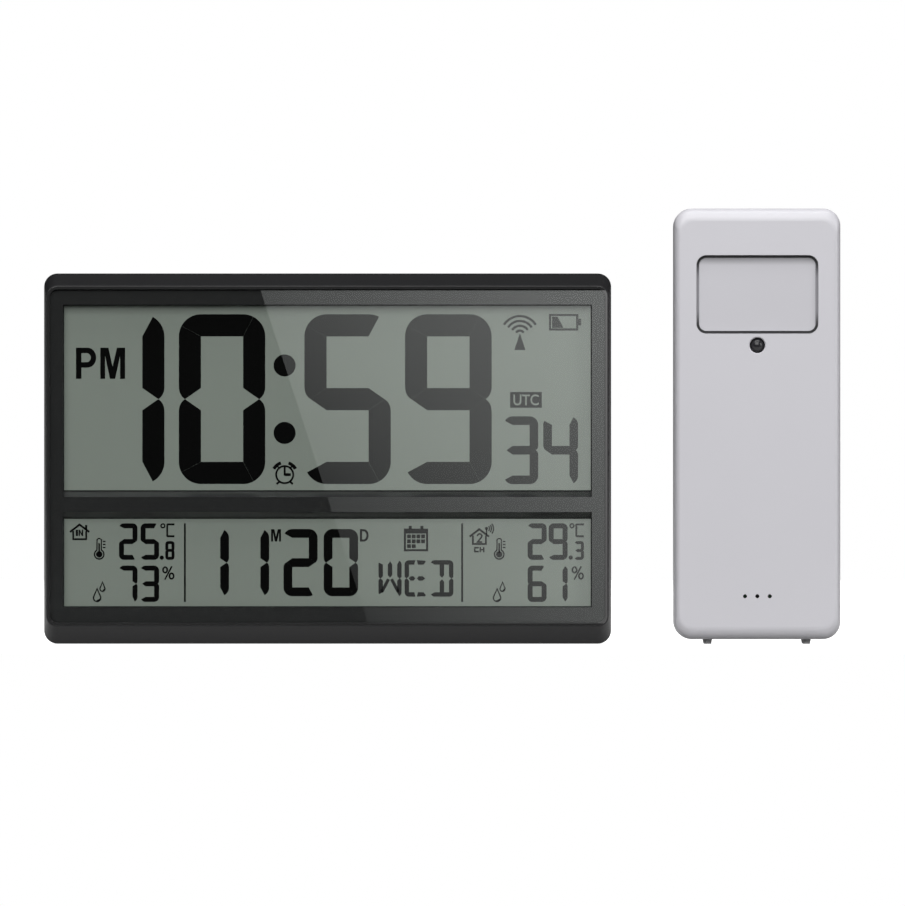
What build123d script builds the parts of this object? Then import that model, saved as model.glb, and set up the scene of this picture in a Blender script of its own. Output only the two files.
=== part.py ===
"""Table clock with thermometer and hygrometer, and the wireless outdoor sensor that belongs to it.

All sizes are in millimetres. X runs to the right, Y from the front to the back and Z up. The origin lies
under the clock, at the middle of its width, on the surface that both units stand on.
"""

import os

from build123d import *

os.makedirs("parts", exist_ok=True)

# Clock housing
clock_width = 170.0
clock_height = 111.0
clock_depth = 28.0
clock_corner_radius = 4.0
clock_wall = 2.2
clock_back_wall = 2.0
clock_back_fillet = 2.5
front_case_depth = 16.0
bezel_slope_depth = 7.0
bezel_top_drop = 3.8
bezel_bottom_drop = 5.3
bezel_side_drop = 0.85
bezel_lip = 1.0
bezel_lip_radius = 3.2
bezel_edge_fillet = 0.4
shallow_cavity_depth = 3.5
shallow_cavity_margin = 1.8

# Clear window and the black mask plate behind it
window_recess = 1.5
window_inset = 0.2
window_gap = 0.1
window_radius = 2.4
mask_thickness = 2.5
mask_side = 4.0
mask_top = 4.6
mask_bottom = 4.7
upper_opening_height = 55.9
divider_height = 7.9
divider_bevel = 1.7

# Liquid crystal display stack
lcd_overlap = 1.8
film_thickness = 0.2
film_margin = 0.4
glass_thickness = 1.1
contact_ledge_height = 3.0
contact_ledge_inset = 15.0
zebra_height = 2.0
zebra_margin = 2.0
carrier_thickness = 2.0
carrier_fence = 1.2
carrier_fence_gap = 0.2
carrier_fence_inset = 3.0

# Main circuit board
board_thickness = 1.6
board_standoff = 1.0
board_side_inset = 15.0
board_low = 50.0
board_top_reach = 0.8
board_screw_inset = 6.0
board_screw_below_keys = 9.0
board_screw_radius = 0.9
board_screw_head_radius = 1.8
board_screw_head_height = 1.2
board_screw_length = 3.8
standoff_radius = 2.2
screw_fit = 0.05

# Parts soldered to the main board
key_switch_side = 6.0
key_switch_height = 3.2
key_plunger_radius = 1.6
key_plunger_height = 0.8
blob_radius = 8.0
blob_height = 1.8
blob_edge_fillet = 1.2
blob_inset = 30.0
blob_above_edge = 12.0
crystal_radius = 1.5
crystal_length = 8.0
capacitor_radius = 3.0
capacitor_length = 7.0
small_parts_inset = 8.0
small_parts_pitch = 10.0
receiver_width = 22.0
receiver_height = 14.0
receiver_thickness = 1.0
receiver_header_height = 1.6
receiver_header_width = 2.5
receiver_inset = 20.0
receiver_above_edge = 16.0

# Push buttons on the back
button_count = 6
button_pitch = 19.0
button_from_top = 16.0
button_width = 9.0
button_height = 5.0
button_radius = 2.4
button_gap = 0.2
button_travel = 0.7
button_flange = 1.0
button_flange_gap = 0.3
button_stem_radius = 1.5
button_free_play = 0.05
strip_depth = 0.8
strip_margin_side = 4.0
strip_margin_end = 2.2
strip_radius = 2.0
button_below_back = 0.1

# Case screws
screw_inset_x = 9.0
screw_inset_low = 6.4
screw_inset_top = 5.6
front_boss_radius = 2.6
rear_boss_radius = 4.4
screw_shank_radius = 1.1
screw_shank_length = 10.0
screw_head_radius = 2.4
screw_head_height = 1.6
screw_hole_gap = 0.25
screw_head_gap = 0.3
screw_seat = 3.5
screw_tip_room = 1.5
cross_length = 2.6
cross_width = 0.6
cross_depth = 0.7

# Wall keyholes
keyhole_entry_radius = 4.0
keyhole_slot_radius = 2.0
keyhole_rise = 8.0
keyhole_below_buttons = 23.0
keyhole_pocket_margin = 1.5
keyhole_pocket_depth = 6.0
keyhole_pocket_wall = 1.0

# AA cells and their contacts
cell_radius = 7.25
cell_can_length = 49.2
cell_nub_radius = 2.75
cell_nub_length = 1.3
cell_gap = 1.0
cell_clearance = 0.2
contact_thickness = 0.5
contact_half_width = 5.0
spring_length = 6.0
spring_base_radius = 4.0
spring_tip_radius = 2.6
spring_gap = 0.1
nub_gap = 0.4

# Clock battery bay and its hinged door
bay_wall = 1.2
bay_side_margin = 8.0
bay_low = 12.6
door_thickness = 1.8
door_overlap = 1.4
door_gap = 0.25
door_pin_radius = 0.6
door_pin_length = 1.2
door_pin_fit = 0.05
door_pin_end_room = 0.2
door_ledge = 1.4
door_ledge_margin = 0.95
latch_width = 14.0
latch_thickness = 1.0
latch_depth = 3.4
latch_inset = 0.7
grip_groove_width = 1.2
grip_groove_depth = 0.5
grip_groove_count = 3
grip_groove_pitch = 2.4
grip_groove_inset = 3.0

# Fold-out table stand
stand_width = 28.0
stand_thickness = 2.8
stand_low = 4.0
stand_pivot_from_top = 55.0
stand_from_bay = 19.0
stand_side_gap = 0.3
stand_face_gap = 0.1
stand_end_gap = 0.3
stand_floor = 1.6
stand_pin_radius = 1.0
stand_pin_length = 1.4
stand_pin_fit = 0.05
stand_pin_end_room = 0.2
stand_panel_margin = 3.0
stand_panel_depth = 0.6
stand_thumb_width = 12.0
stand_thumb_height = 3.0
stand_thumb_depth = 0.9

# Buzzer, indoor sensor and their openings in the back
buzzer_from_side = 19.0
buzzer_z = 45.0
buzzer_radius = 9.0
buzzer_thickness = 2.5
buzzer_gap = 0.2
buzzer_ring_wall = 1.0
buzzer_ring_depth = 3.5
sound_hole_radius = 0.8
sound_hole_circle = 4.0
sound_hole_count = 6
vent_count = 5
vent_pitch = 2.6
vent_width = 1.4
vent_length = 10.0
vent_from_side = 13.0
vent_z = 22.0
indoor_board_margin = 3.0
indoor_board_thickness = 1.0
indoor_post_radius = 1.0
indoor_post_length = 2.2
indoor_chip_side = 3.0
indoor_chip_height = 1.1

# Ferrite antenna for the time signal
ferrite_radius = 4.0
ferrite_length = 50.0
ferrite_from_side = 33.0
ferrite_y = 5.5
ferrite_z = 66.0
ferrite_fit = 0.1
coil_radius = 5.4
coil_length = 16.0
coil_fit = 0.1
saddle_thickness = 2.4
saddle_wall = 1.6
saddle_end_inset = 8.0

# Sensor housing
sensor_gap = 18.8
sensor_width = 49.8
sensor_height = 129.0
sensor_depth = 24.0
sensor_corner_radius = 5.2
sensor_face_corner_radius = 4.0
sensor_wall = 2.4
sensor_back_wall = 2.0
sensor_back_fillet = 2.0
sensor_front_depth = 12.0
sensor_edge_depth = 3.0
sensor_edge_side = 1.9
sensor_edge_end = 3.8
sensor_edge_angles = (0, 30, 60, 90)

# Sensor feet
foot_height = 1.4
foot_top_radius = 1.35
foot_tip_radius = 1.05
foot_side_inset = 10.1
foot_front_inset = 5.5
foot_back_inset = 5.5

# Sensor window, lamp and vents
sensor_window_width = 36.5
sensor_window_height = 23.5
sensor_window_radius = 3.0
sensor_window_from_top = 14.0
sensor_pocket_depth = 1.6
sensor_groove = 0.85
sensor_lens_thickness = 0.6
gasket_thickness = 0.5
gasket_fit = 0.05
sensor_opening_margin = 1.2
sensor_opening_radius = 1.5
sensor_lcd_margin = 1.2
sensor_lcd_thickness = 1.6
sensor_lcd_seat = 0.1
lamp_radius = 2.2
lamp_gap = 0.1
lamp_below_window = 3.5
lamp_proud = 0.4
lamp_flange_radius = 2.5
lamp_flange_height = 0.8
lamp_rim_chamfer = 0.3
vent_hole_radius = 0.6
vent_hole_count = 3
vent_hole_pitch = 3.7
vent_hole_z = 12.9

# Sensor board and what it carries
sensor_board_side_gap = 2.5
sensor_board_low = 11.5
sensor_board_from_top = 12.0
sensor_board_back = 6.2
sensor_post_radius = 2.0
sensor_post_inset = 6.0
sensor_post_low = 26.0
sensor_post_below_window = 21.5
sensor_zebra_margin = 2.05
sensor_zebra_height = 2.0
sensor_zebra_inset = 1.0
element_side = 4.0
element_height = 1.0
antenna_radius = 0.6
antenna_below_lamp = 8.0
antenna_inset = 2.5
antenna_low = 24.0
antenna_gap = 0.05
seal_inset = 0.7
seal_width = 1.0
seal_depth = 0.9
seal_fit = 0.05

# Sensor battery bay, control well and door
sensor_bay_wall = 1.0
sensor_bay_floor = 0.8
sensor_bay_low = 18.0
sensor_bay_end_drop = 1.0
well_height = 11.0
well_floor = 1.2
well_floor_back = 0.4
sensor_door_thickness = 1.6
sensor_door_overlap = 1.6
sensor_door_pin_radius = 0.5
sensor_ledge = 1.0
sensor_latch_width = 10.0
sensor_latch_depth = 3.0

# Sensor channel switch and transmit button
switch_x = -7.0
switch_body_width = 8.6
switch_body_height = 4.4
switch_body_depth = 4.0
switch_knob_width = 2.2
switch_knob_height = 2.4
switch_knob_reach = 2.6
switch_knob_seat = 0.05
switch_travel = 2.0
switch_slot_gap = 0.15
transmit_x = 7.0
transmit_radius = 2.2
transmit_gap = 0.15
transmit_flange = 0.8
transmit_flange_thickness = 0.7
transmit_flange_gap = 0.3
transmit_proud = 0.8
transmit_travel = 0.6
transmit_switch_side = 6.0
transmit_switch_height = 2.0
transmit_plunger_radius = 1.2

# Sensor case screws and keyhole
sensor_screw_inset_x = 6.4
sensor_screw_inset = 8.5
sensor_boss_radius = 2.6
sensor_rear_boss_radius = 3.2
sensor_screw_seat = 5.0
sensor_screw_shank_radius = 1.0
sensor_screw_head_radius = 2.2
sensor_screw_head_height = 1.4
sensor_keyhole_entry_radius = 3.5
sensor_keyhole_slot_radius = 1.7
sensor_keyhole_rise = 7.0
sensor_keyhole_above_door = 6.0

# One overrun serves every cut that leaves through a face
overrun = 1.0

# Depths through the clock, from the front face to the back
front_y = -clock_depth / 2
back_y = clock_depth / 2
parting_y = front_y + front_case_depth
slope_end_y = front_y + bezel_slope_depth
mask_front_y = front_y + window_recess
mask_back_y = mask_front_y + mask_thickness
polariser_back_y = mask_back_y + film_thickness
front_glass_back_y = polariser_back_y + glass_thickness
rear_glass_back_y = front_glass_back_y + glass_thickness
reflector_back_y = rear_glass_back_y + film_thickness
carrier_back_y = reflector_back_y + carrier_thickness
board_front_y = carrier_back_y + board_standoff
board_back_y = board_front_y + board_thickness
back_inner_y = back_y - clock_back_wall

# Heights and widths of the clock's face
lip_half_width = clock_width / 2 - bezel_side_drop
lip_low = bezel_bottom_drop
lip_high = clock_height - bezel_top_drop
window_half_width = lip_half_width - bezel_lip
window_low = lip_low + bezel_lip
window_high = lip_high - bezel_lip
opening_half_width = window_half_width - mask_side
upper_high = window_high - mask_top
upper_low = upper_high - upper_opening_height
lower_high = upper_low - divider_height
lower_low = window_low + mask_bottom
lcd_half_width = opening_half_width + lcd_overlap
lcd_low = lower_low - lcd_overlap
lcd_high = upper_high + lcd_overlap / 2
ledge_half_width = lcd_half_width - contact_ledge_inset
ledge_high = lcd_high + contact_ledge_height
board_high = ledge_high + board_top_reach
board_half_width = lcd_half_width - board_side_inset
cavity_half_width = clock_width / 2 - clock_wall
cavity_low = clock_wall
cavity_high = clock_height - clock_wall
shallow_low = cavity_low + bezel_bottom_drop / 2
shallow_high = cavity_high - shallow_cavity_margin

# Places of the clock's screws, buttons and battery bay
screw_places = [
    (side * (clock_width / 2 - screw_inset_x), height)
    for side in (-1, 1)
    for height in (screw_inset_low, clock_height - screw_inset_top)
]
button_z = clock_height - button_from_top
board_screw_places = [
    (side * (board_half_width - board_screw_inset), height)
    for side in (-1, 1)
    for height in (board_low + board_screw_inset, button_z - board_screw_below_keys)
]
keyhole_z = button_z - keyhole_below_buttons
button_names = ["set_button", "up_button", "down_button", "alarm_button", "channel_button", "zone_button"]
button_places = [button_pitch * (index - (button_count - 1) / 2) for index in range(button_count)]
key_top_y = board_back_y + key_switch_height + key_plunger_height
screw_seat_y = parting_y + screw_seat

cell_length = cell_can_length + cell_nub_length
cell_run = 2 * contact_thickness + spring_length + spring_gap + cell_length + nub_gap
bay_depth_span = 2 * cell_radius + 2 * cell_clearance
bay_across = 4 * cell_radius + 3 * cell_gap
bay_centre_x = clock_width / 2 - bay_side_margin - cell_run / 2
bay_x = (bay_centre_x - cell_run / 2, bay_centre_x + cell_run / 2)
bay_z = (bay_low, bay_low + bay_across)
bay_floor_y = back_y - door_thickness - bay_depth_span
cell_y = bay_floor_y + cell_clearance + cell_radius
cell_z = (bay_low + cell_gap + cell_radius, bay_low + 2 * cell_gap + 3 * cell_radius)
door_x = (bay_x[0] - door_overlap, bay_x[1] + door_overlap)
door_high = bay_z[1] + door_overlap
door_axis_y = back_y - door_thickness / 2
door_axis_z = bay_z[0] - door_overlap + door_thickness / 2

# Places of the stand and of what lies on the board or behind the left side
stand_x = bay_x[0] - stand_from_bay
stand_pivot_z = clock_height - stand_pivot_from_top
buzzer_x = buzzer_from_side - clock_width / 2
vent_x = vent_from_side - clock_width / 2
ferrite_x = ferrite_from_side - clock_width / 2
blob_x = board_half_width - blob_inset
blob_z = board_low + blob_above_edge
small_parts_x = board_half_width - small_parts_inset
receiver_x = receiver_inset - board_half_width
receiver_z = board_low + receiver_above_edge

# Places of the sensor: its own middle, floor and depths
sensor_x = clock_width / 2 + sensor_gap + sensor_width / 2
sensor_floor = foot_height
sensor_front_y = front_y
sensor_back_y = sensor_front_y + sensor_depth
sensor_parting_y = sensor_front_y + sensor_front_depth
sensor_front_inner_y = sensor_front_y + sensor_wall
sensor_back_inner_y = sensor_back_y - sensor_back_wall
sensor_board_back_y = sensor_front_y + sensor_board_back
sensor_board_front_y = sensor_board_back_y - board_thickness
sensor_bay_half = 2 * cell_radius + cell_gap + cell_gap / 2
sensor_bay_z = (sensor_floor + sensor_bay_low, sensor_floor + sensor_bay_low + cell_run)
sensor_well_z = (sensor_bay_z[1] + sensor_bay_wall, sensor_bay_z[1] + sensor_bay_wall + well_height)
sensor_bay_floor_y = sensor_board_back_y + well_floor_back + sensor_bay_floor
sensor_cell_y = sensor_bay_floor_y + cell_clearance + cell_radius
sensor_cell_x = (sensor_x - cell_radius - cell_gap / 2, sensor_x + cell_radius + cell_gap / 2)
well_floor_front_y = sensor_board_back_y + switch_body_depth + switch_slot_gap
well_floor_y = well_floor_front_y + well_floor
well_z = (sensor_well_z[0] + sensor_well_z[1]) / 2
sensor_door_half = sensor_bay_half + sensor_door_overlap
sensor_door_high = sensor_well_z[1] + sensor_door_overlap
sensor_door_axis_y = sensor_back_y - sensor_door_thickness / 2
sensor_door_axis_z = sensor_bay_z[0] - sensor_door_overlap + sensor_door_thickness / 2
sensor_pocket_y = sensor_front_y + sensor_pocket_depth
sensor_top = sensor_floor + sensor_height
sensor_window_high = sensor_top - sensor_window_from_top
sensor_window_z = (sensor_window_high - sensor_window_height, sensor_window_high)
sensor_lamp_z = sensor_window_z[0] - lamp_below_window
sensor_board_half = sensor_width / 2 - sensor_wall - sensor_board_side_gap
sensor_board_z = (sensor_floor + sensor_board_low, sensor_top - sensor_board_from_top)
sensor_post_x = sensor_board_half - sensor_post_inset
sensor_post_z = (sensor_floor + sensor_post_low, sensor_window_z[0] - sensor_post_below_window)
sensor_keyhole_z = sensor_door_high + sensor_keyhole_above_door
sensor_screw_seat_y = sensor_parting_y + sensor_screw_seat
sensor_screw_places = [
    (sensor_x + side * (sensor_width / 2 - sensor_screw_inset_x), sensor_floor + height)
    for side in (-1, 1)
    for height in (sensor_screw_inset, sensor_height - sensor_screw_inset)
]


def front_plane(y):
    """Plane at depth y that faces the front, with its own x along X and its own y up along Z."""
    return Plane.XZ.offset(-y)


def about(middle, half):
    """Low and high end of a stretch of that half length about a middle."""
    return (middle - half, middle + half)


def grown(stretch, margin):
    """A stretch made longer by a margin at both ends."""
    return (stretch[0] - margin, stretch[1] + margin)


def block(x, z, y, radius=0, mode=Mode.ADD):
    """Block in the part being built, from its low and high ends along X, Z and Y."""
    with BuildSketch(front_plane(y[0])) as outline:
        with Locations(((x[0] + x[1]) / 2, (z[0] + z[1]) / 2)):
            if radius:
                RectangleRounded(x[1] - x[0], z[1] - z[0], radius)
            else:
                Rectangle(x[1] - x[0], z[1] - z[0])
    extrude(outline.sketch, amount=y[0] - y[1], mode=mode)


def disc(x, z, y, radius, mode=Mode.ADD):
    """Round bar along Y in the part being built, from its low and high end."""
    with BuildSketch(front_plane(y[0])) as outline:
        with Locations((x, z)):
            Circle(radius)
    extrude(outline.sketch, amount=y[0] - y[1], mode=mode)


def bar_along_x(x, y, z, radius, mode=Mode.ADD):
    """Round bar along X in the part being built, from its low and high end."""
    with BuildSketch(Plane.YZ.offset(x[0])) as outline:
        with Locations((y, z)):
            Circle(radius)
    extrude(outline.sketch, amount=x[1] - x[0], mode=mode)


def cross_head_screw(place, seat_y, head_radius, head_height, shank_radius, shank_length):
    """Screw driven from the back: a flat head with a cross recess, seated at seat_y."""
    x, z = place
    top_y = seat_y + head_height
    disc(x, z, (seat_y, top_y), head_radius)
    disc(x, z, (seat_y - shank_length, seat_y), shank_radius)
    for width, height in ((cross_length, cross_width), (cross_width, cross_length)):
        recess = (top_y - cross_depth, top_y)
        block(about(x, width / 2), about(z, height / 2), recess, mode=Mode.SUBTRACT)


def keyhole(x, z, y, entry_radius, slot_radius, rise):
    """Cut a wall keyhole: a round entry for the screw head and a narrow slot that rises from it."""
    disc(x, z, y, entry_radius, mode=Mode.SUBTRACT)
    block(about(x, slot_radius), (z, z + rise), y, mode=Mode.SUBTRACT)
    disc(x, z + rise, y, slot_radius, mode=Mode.SUBTRACT)


def battery_cell(flat_end):
    """Round cell in the part being built, from its flat end along the plane's normal to its nub."""
    with BuildSketch(flat_end) as can:
        Circle(cell_radius)
    extrude(can.sketch, amount=cell_can_length)
    with BuildSketch(flat_end.offset(cell_can_length)) as nub:
        Circle(cell_nub_radius)
    extrude(nub.sketch, amount=cell_nub_length)


def contact_spring(base):
    """Conical contact spring, as its outer shape, from its base plane to the cell that it presses."""
    with BuildSketch(base) as wide_end:
        Circle(spring_base_radius)
    with BuildSketch(base.offset(spring_length)) as narrow_end:
        Circle(spring_tip_radius)
    loft([wide_end.sketch, narrow_end.sketch])


# Clock: front case, a sloped bezel with the mask plate and its two openings
with BuildPart() as clock_front_case:
    with BuildSketch(front_plane(front_y)):
        with Locations((0, (lip_low + lip_high) / 2)):
            RectangleRounded(2 * lip_half_width, lip_high - lip_low, bezel_lip_radius)
    with BuildSketch(front_plane(slope_end_y)):
        with Locations((0, clock_height / 2)):
            RectangleRounded(clock_width, clock_height, clock_corner_radius)
    loft(ruled=True)
    fillet(edges().group_by(Axis.Y)[0], radius=bezel_edge_fillet)
    block(about(0, clock_width / 2), (0, clock_height), (slope_end_y, parting_y), clock_corner_radius)
    window_seat = (front_y - overrun, mask_front_y)
    block(about(0, window_half_width), (window_low, window_high), window_seat, window_radius, Mode.SUBTRACT)
    with BuildSketch(Plane.YZ.offset(-opening_half_width)):
        with BuildLine():
            Polyline(
                (mask_front_y, upper_low - divider_bevel),
                (mask_back_y, upper_low),
                (mask_back_y, upper_high),
                (mask_front_y, upper_high),
                close=True,
            )
        make_face()
        with BuildLine():
            Polyline(
                (mask_front_y, lower_low),
                (mask_back_y, lower_low),
                (mask_back_y, lower_high),
                (mask_front_y, lower_high + divider_bevel),
                close=True,
            )
        make_face()
    extrude(amount=2 * opening_half_width, mode=Mode.SUBTRACT)
    shallow_end_y = mask_back_y + shallow_cavity_depth
    shallow = (mask_back_y, shallow_end_y)
    block(about(0, cavity_half_width), (shallow_low, shallow_high), shallow, mode=Mode.SUBTRACT)
    deep = (shallow_end_y, parting_y)
    block(about(0, cavity_half_width), (cavity_low, cavity_high), deep, mode=Mode.SUBTRACT)
    for x, z in screw_places:
        disc(x, z, (mask_back_y, parting_y), front_boss_radius)
    for x, z in screw_places:
        hole_end_y = screw_seat_y - screw_shank_length - screw_tip_room
        disc(x, z, (hole_end_y, parting_y), screw_shank_radius + screw_fit, mode=Mode.SUBTRACT)
clock_front_case.part.label = "clock_front_case"

# Clock: clear acrylic window that lies in the bezel
with BuildPart() as clock_window:
    block(
        about(0, window_half_width - window_gap),
        grown((window_low, window_high), -window_gap),
        (front_y + window_inset, mask_front_y),
        window_radius - window_gap,
    )
clock_window.part.label = "clock_window"

# Clock: the display's films and its two glass plates, the front one with the contact ledge
with BuildPart() as lcd_front_polariser:
    film_x = about(0, lcd_half_width - film_margin)
    block(film_x, grown((lcd_low, lcd_high), -film_margin), (mask_back_y, polariser_back_y))
lcd_front_polariser.part.label = "lcd_front_polariser"

with BuildPart() as lcd_front_glass:
    front_glass_y = (polariser_back_y, front_glass_back_y)
    block(about(0, lcd_half_width), (lcd_low, lcd_high), front_glass_y)
    block(about(0, ledge_half_width), (lcd_high, ledge_high), front_glass_y)
lcd_front_glass.part.label = "lcd_front_glass"

with BuildPart() as lcd_rear_glass:
    block(about(0, lcd_half_width), (lcd_low, lcd_high), (front_glass_back_y, rear_glass_back_y))
lcd_rear_glass.part.label = "lcd_rear_glass"

with BuildPart() as lcd_reflector:
    block(film_x, grown((lcd_low, lcd_high), -film_margin), (rear_glass_back_y, reflector_back_y))
lcd_reflector.part.label = "lcd_reflector"

# Clock: carrier that backs the display and holds the main board
with BuildPart() as lcd_carrier:
    block(about(0, lcd_half_width), (lcd_low, lcd_high), (reflector_back_y, carrier_back_y))
    for side in (-1, 1):
        fence_middle = side * (lcd_half_width + carrier_fence_gap + carrier_fence / 2)
        block(
            about(fence_middle, carrier_fence / 2),
            grown((lcd_low, lcd_high), -carrier_fence_inset),
            (polariser_back_y, carrier_back_y),
        )
        bridge_middle = side * (lcd_half_width + carrier_fence_gap / 2)
        block(
            about(bridge_middle, carrier_fence_gap / 2),
            grown((lcd_low, lcd_high), -carrier_fence_inset),
            (reflector_back_y, carrier_back_y),
        )
    for x, z in board_screw_places:
        disc(x, z, (carrier_back_y, board_front_y), standoff_radius)
    for x, z in board_screw_places:
        disc(x, z, (reflector_back_y, board_front_y), board_screw_radius + screw_fit, mode=Mode.SUBTRACT)
lcd_carrier.part.label = "lcd_carrier"

# Clock: rubber strip that joins the display's contacts to the board
with BuildPart() as lcd_zebra_strip:
    zebra_low = lcd_high + (contact_ledge_height - zebra_height) / 2
    block(
        about(0, ledge_half_width - zebra_margin),
        (zebra_low, zebra_low + zebra_height),
        (front_glass_back_y, board_front_y),
    )
lcd_zebra_strip.part.label = "lcd_zebra_strip"

# Clock: main board and what is soldered to it
with BuildPart() as main_board:
    block(about(0, board_half_width), (board_low, board_high), (board_front_y, board_back_y))
    for x, z in board_screw_places:
        disc(x, z, (board_front_y, board_back_y), board_screw_radius + screw_fit, mode=Mode.SUBTRACT)
main_board.part.label = "main_board"

with BuildPart() as board_screws:
    for place in board_screw_places:
        cross_head_screw(
            place,
            board_back_y,
            board_screw_head_radius,
            board_screw_head_height,
            board_screw_radius,
            board_screw_length,
        )
board_screws.part.label = "board_screws"

with BuildPart() as processor_blob:
    disc(blob_x, blob_z, (board_back_y, board_back_y + blob_height), blob_radius)
    fillet(edges().group_by(Axis.Y)[-1], radius=blob_edge_fillet)
processor_blob.part.label = "processor_blob"

with BuildPart() as board_components:
    disc(small_parts_x, blob_z, (board_back_y, board_back_y + capacitor_length), capacitor_radius)
    for step in (-1, 1):
        crystal_z = blob_z + step * small_parts_pitch
        crystal_y = board_back_y + crystal_radius
        bar_along_x(about(small_parts_x, crystal_length / 2), crystal_y, crystal_z, crystal_radius)
board_components.part.label = "board_components"

with BuildPart() as key_switches:
    for x in button_places:
        side = key_switch_side / 2
        switch_top_y = board_back_y + key_switch_height
        block(about(x, side), about(button_z, side), (board_back_y, switch_top_y))
        disc(x, button_z, (switch_top_y, key_top_y), key_plunger_radius)
key_switches.part.label = "key_switches"

with BuildPart() as radio_receiver:
    receiver_front_y = board_back_y + receiver_header_height
    receiver_x_span = about(receiver_x, receiver_width / 2)
    receiver_z_span = about(receiver_z, receiver_height / 2)
    block(receiver_x_span, receiver_z_span, (receiver_front_y, receiver_front_y + receiver_thickness))
    header_z = (receiver_z_span[0], receiver_z_span[0] + receiver_header_width)
    block(receiver_x_span, header_z, (board_back_y, receiver_front_y))
radio_receiver.part.label = "radio_receiver"

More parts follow.
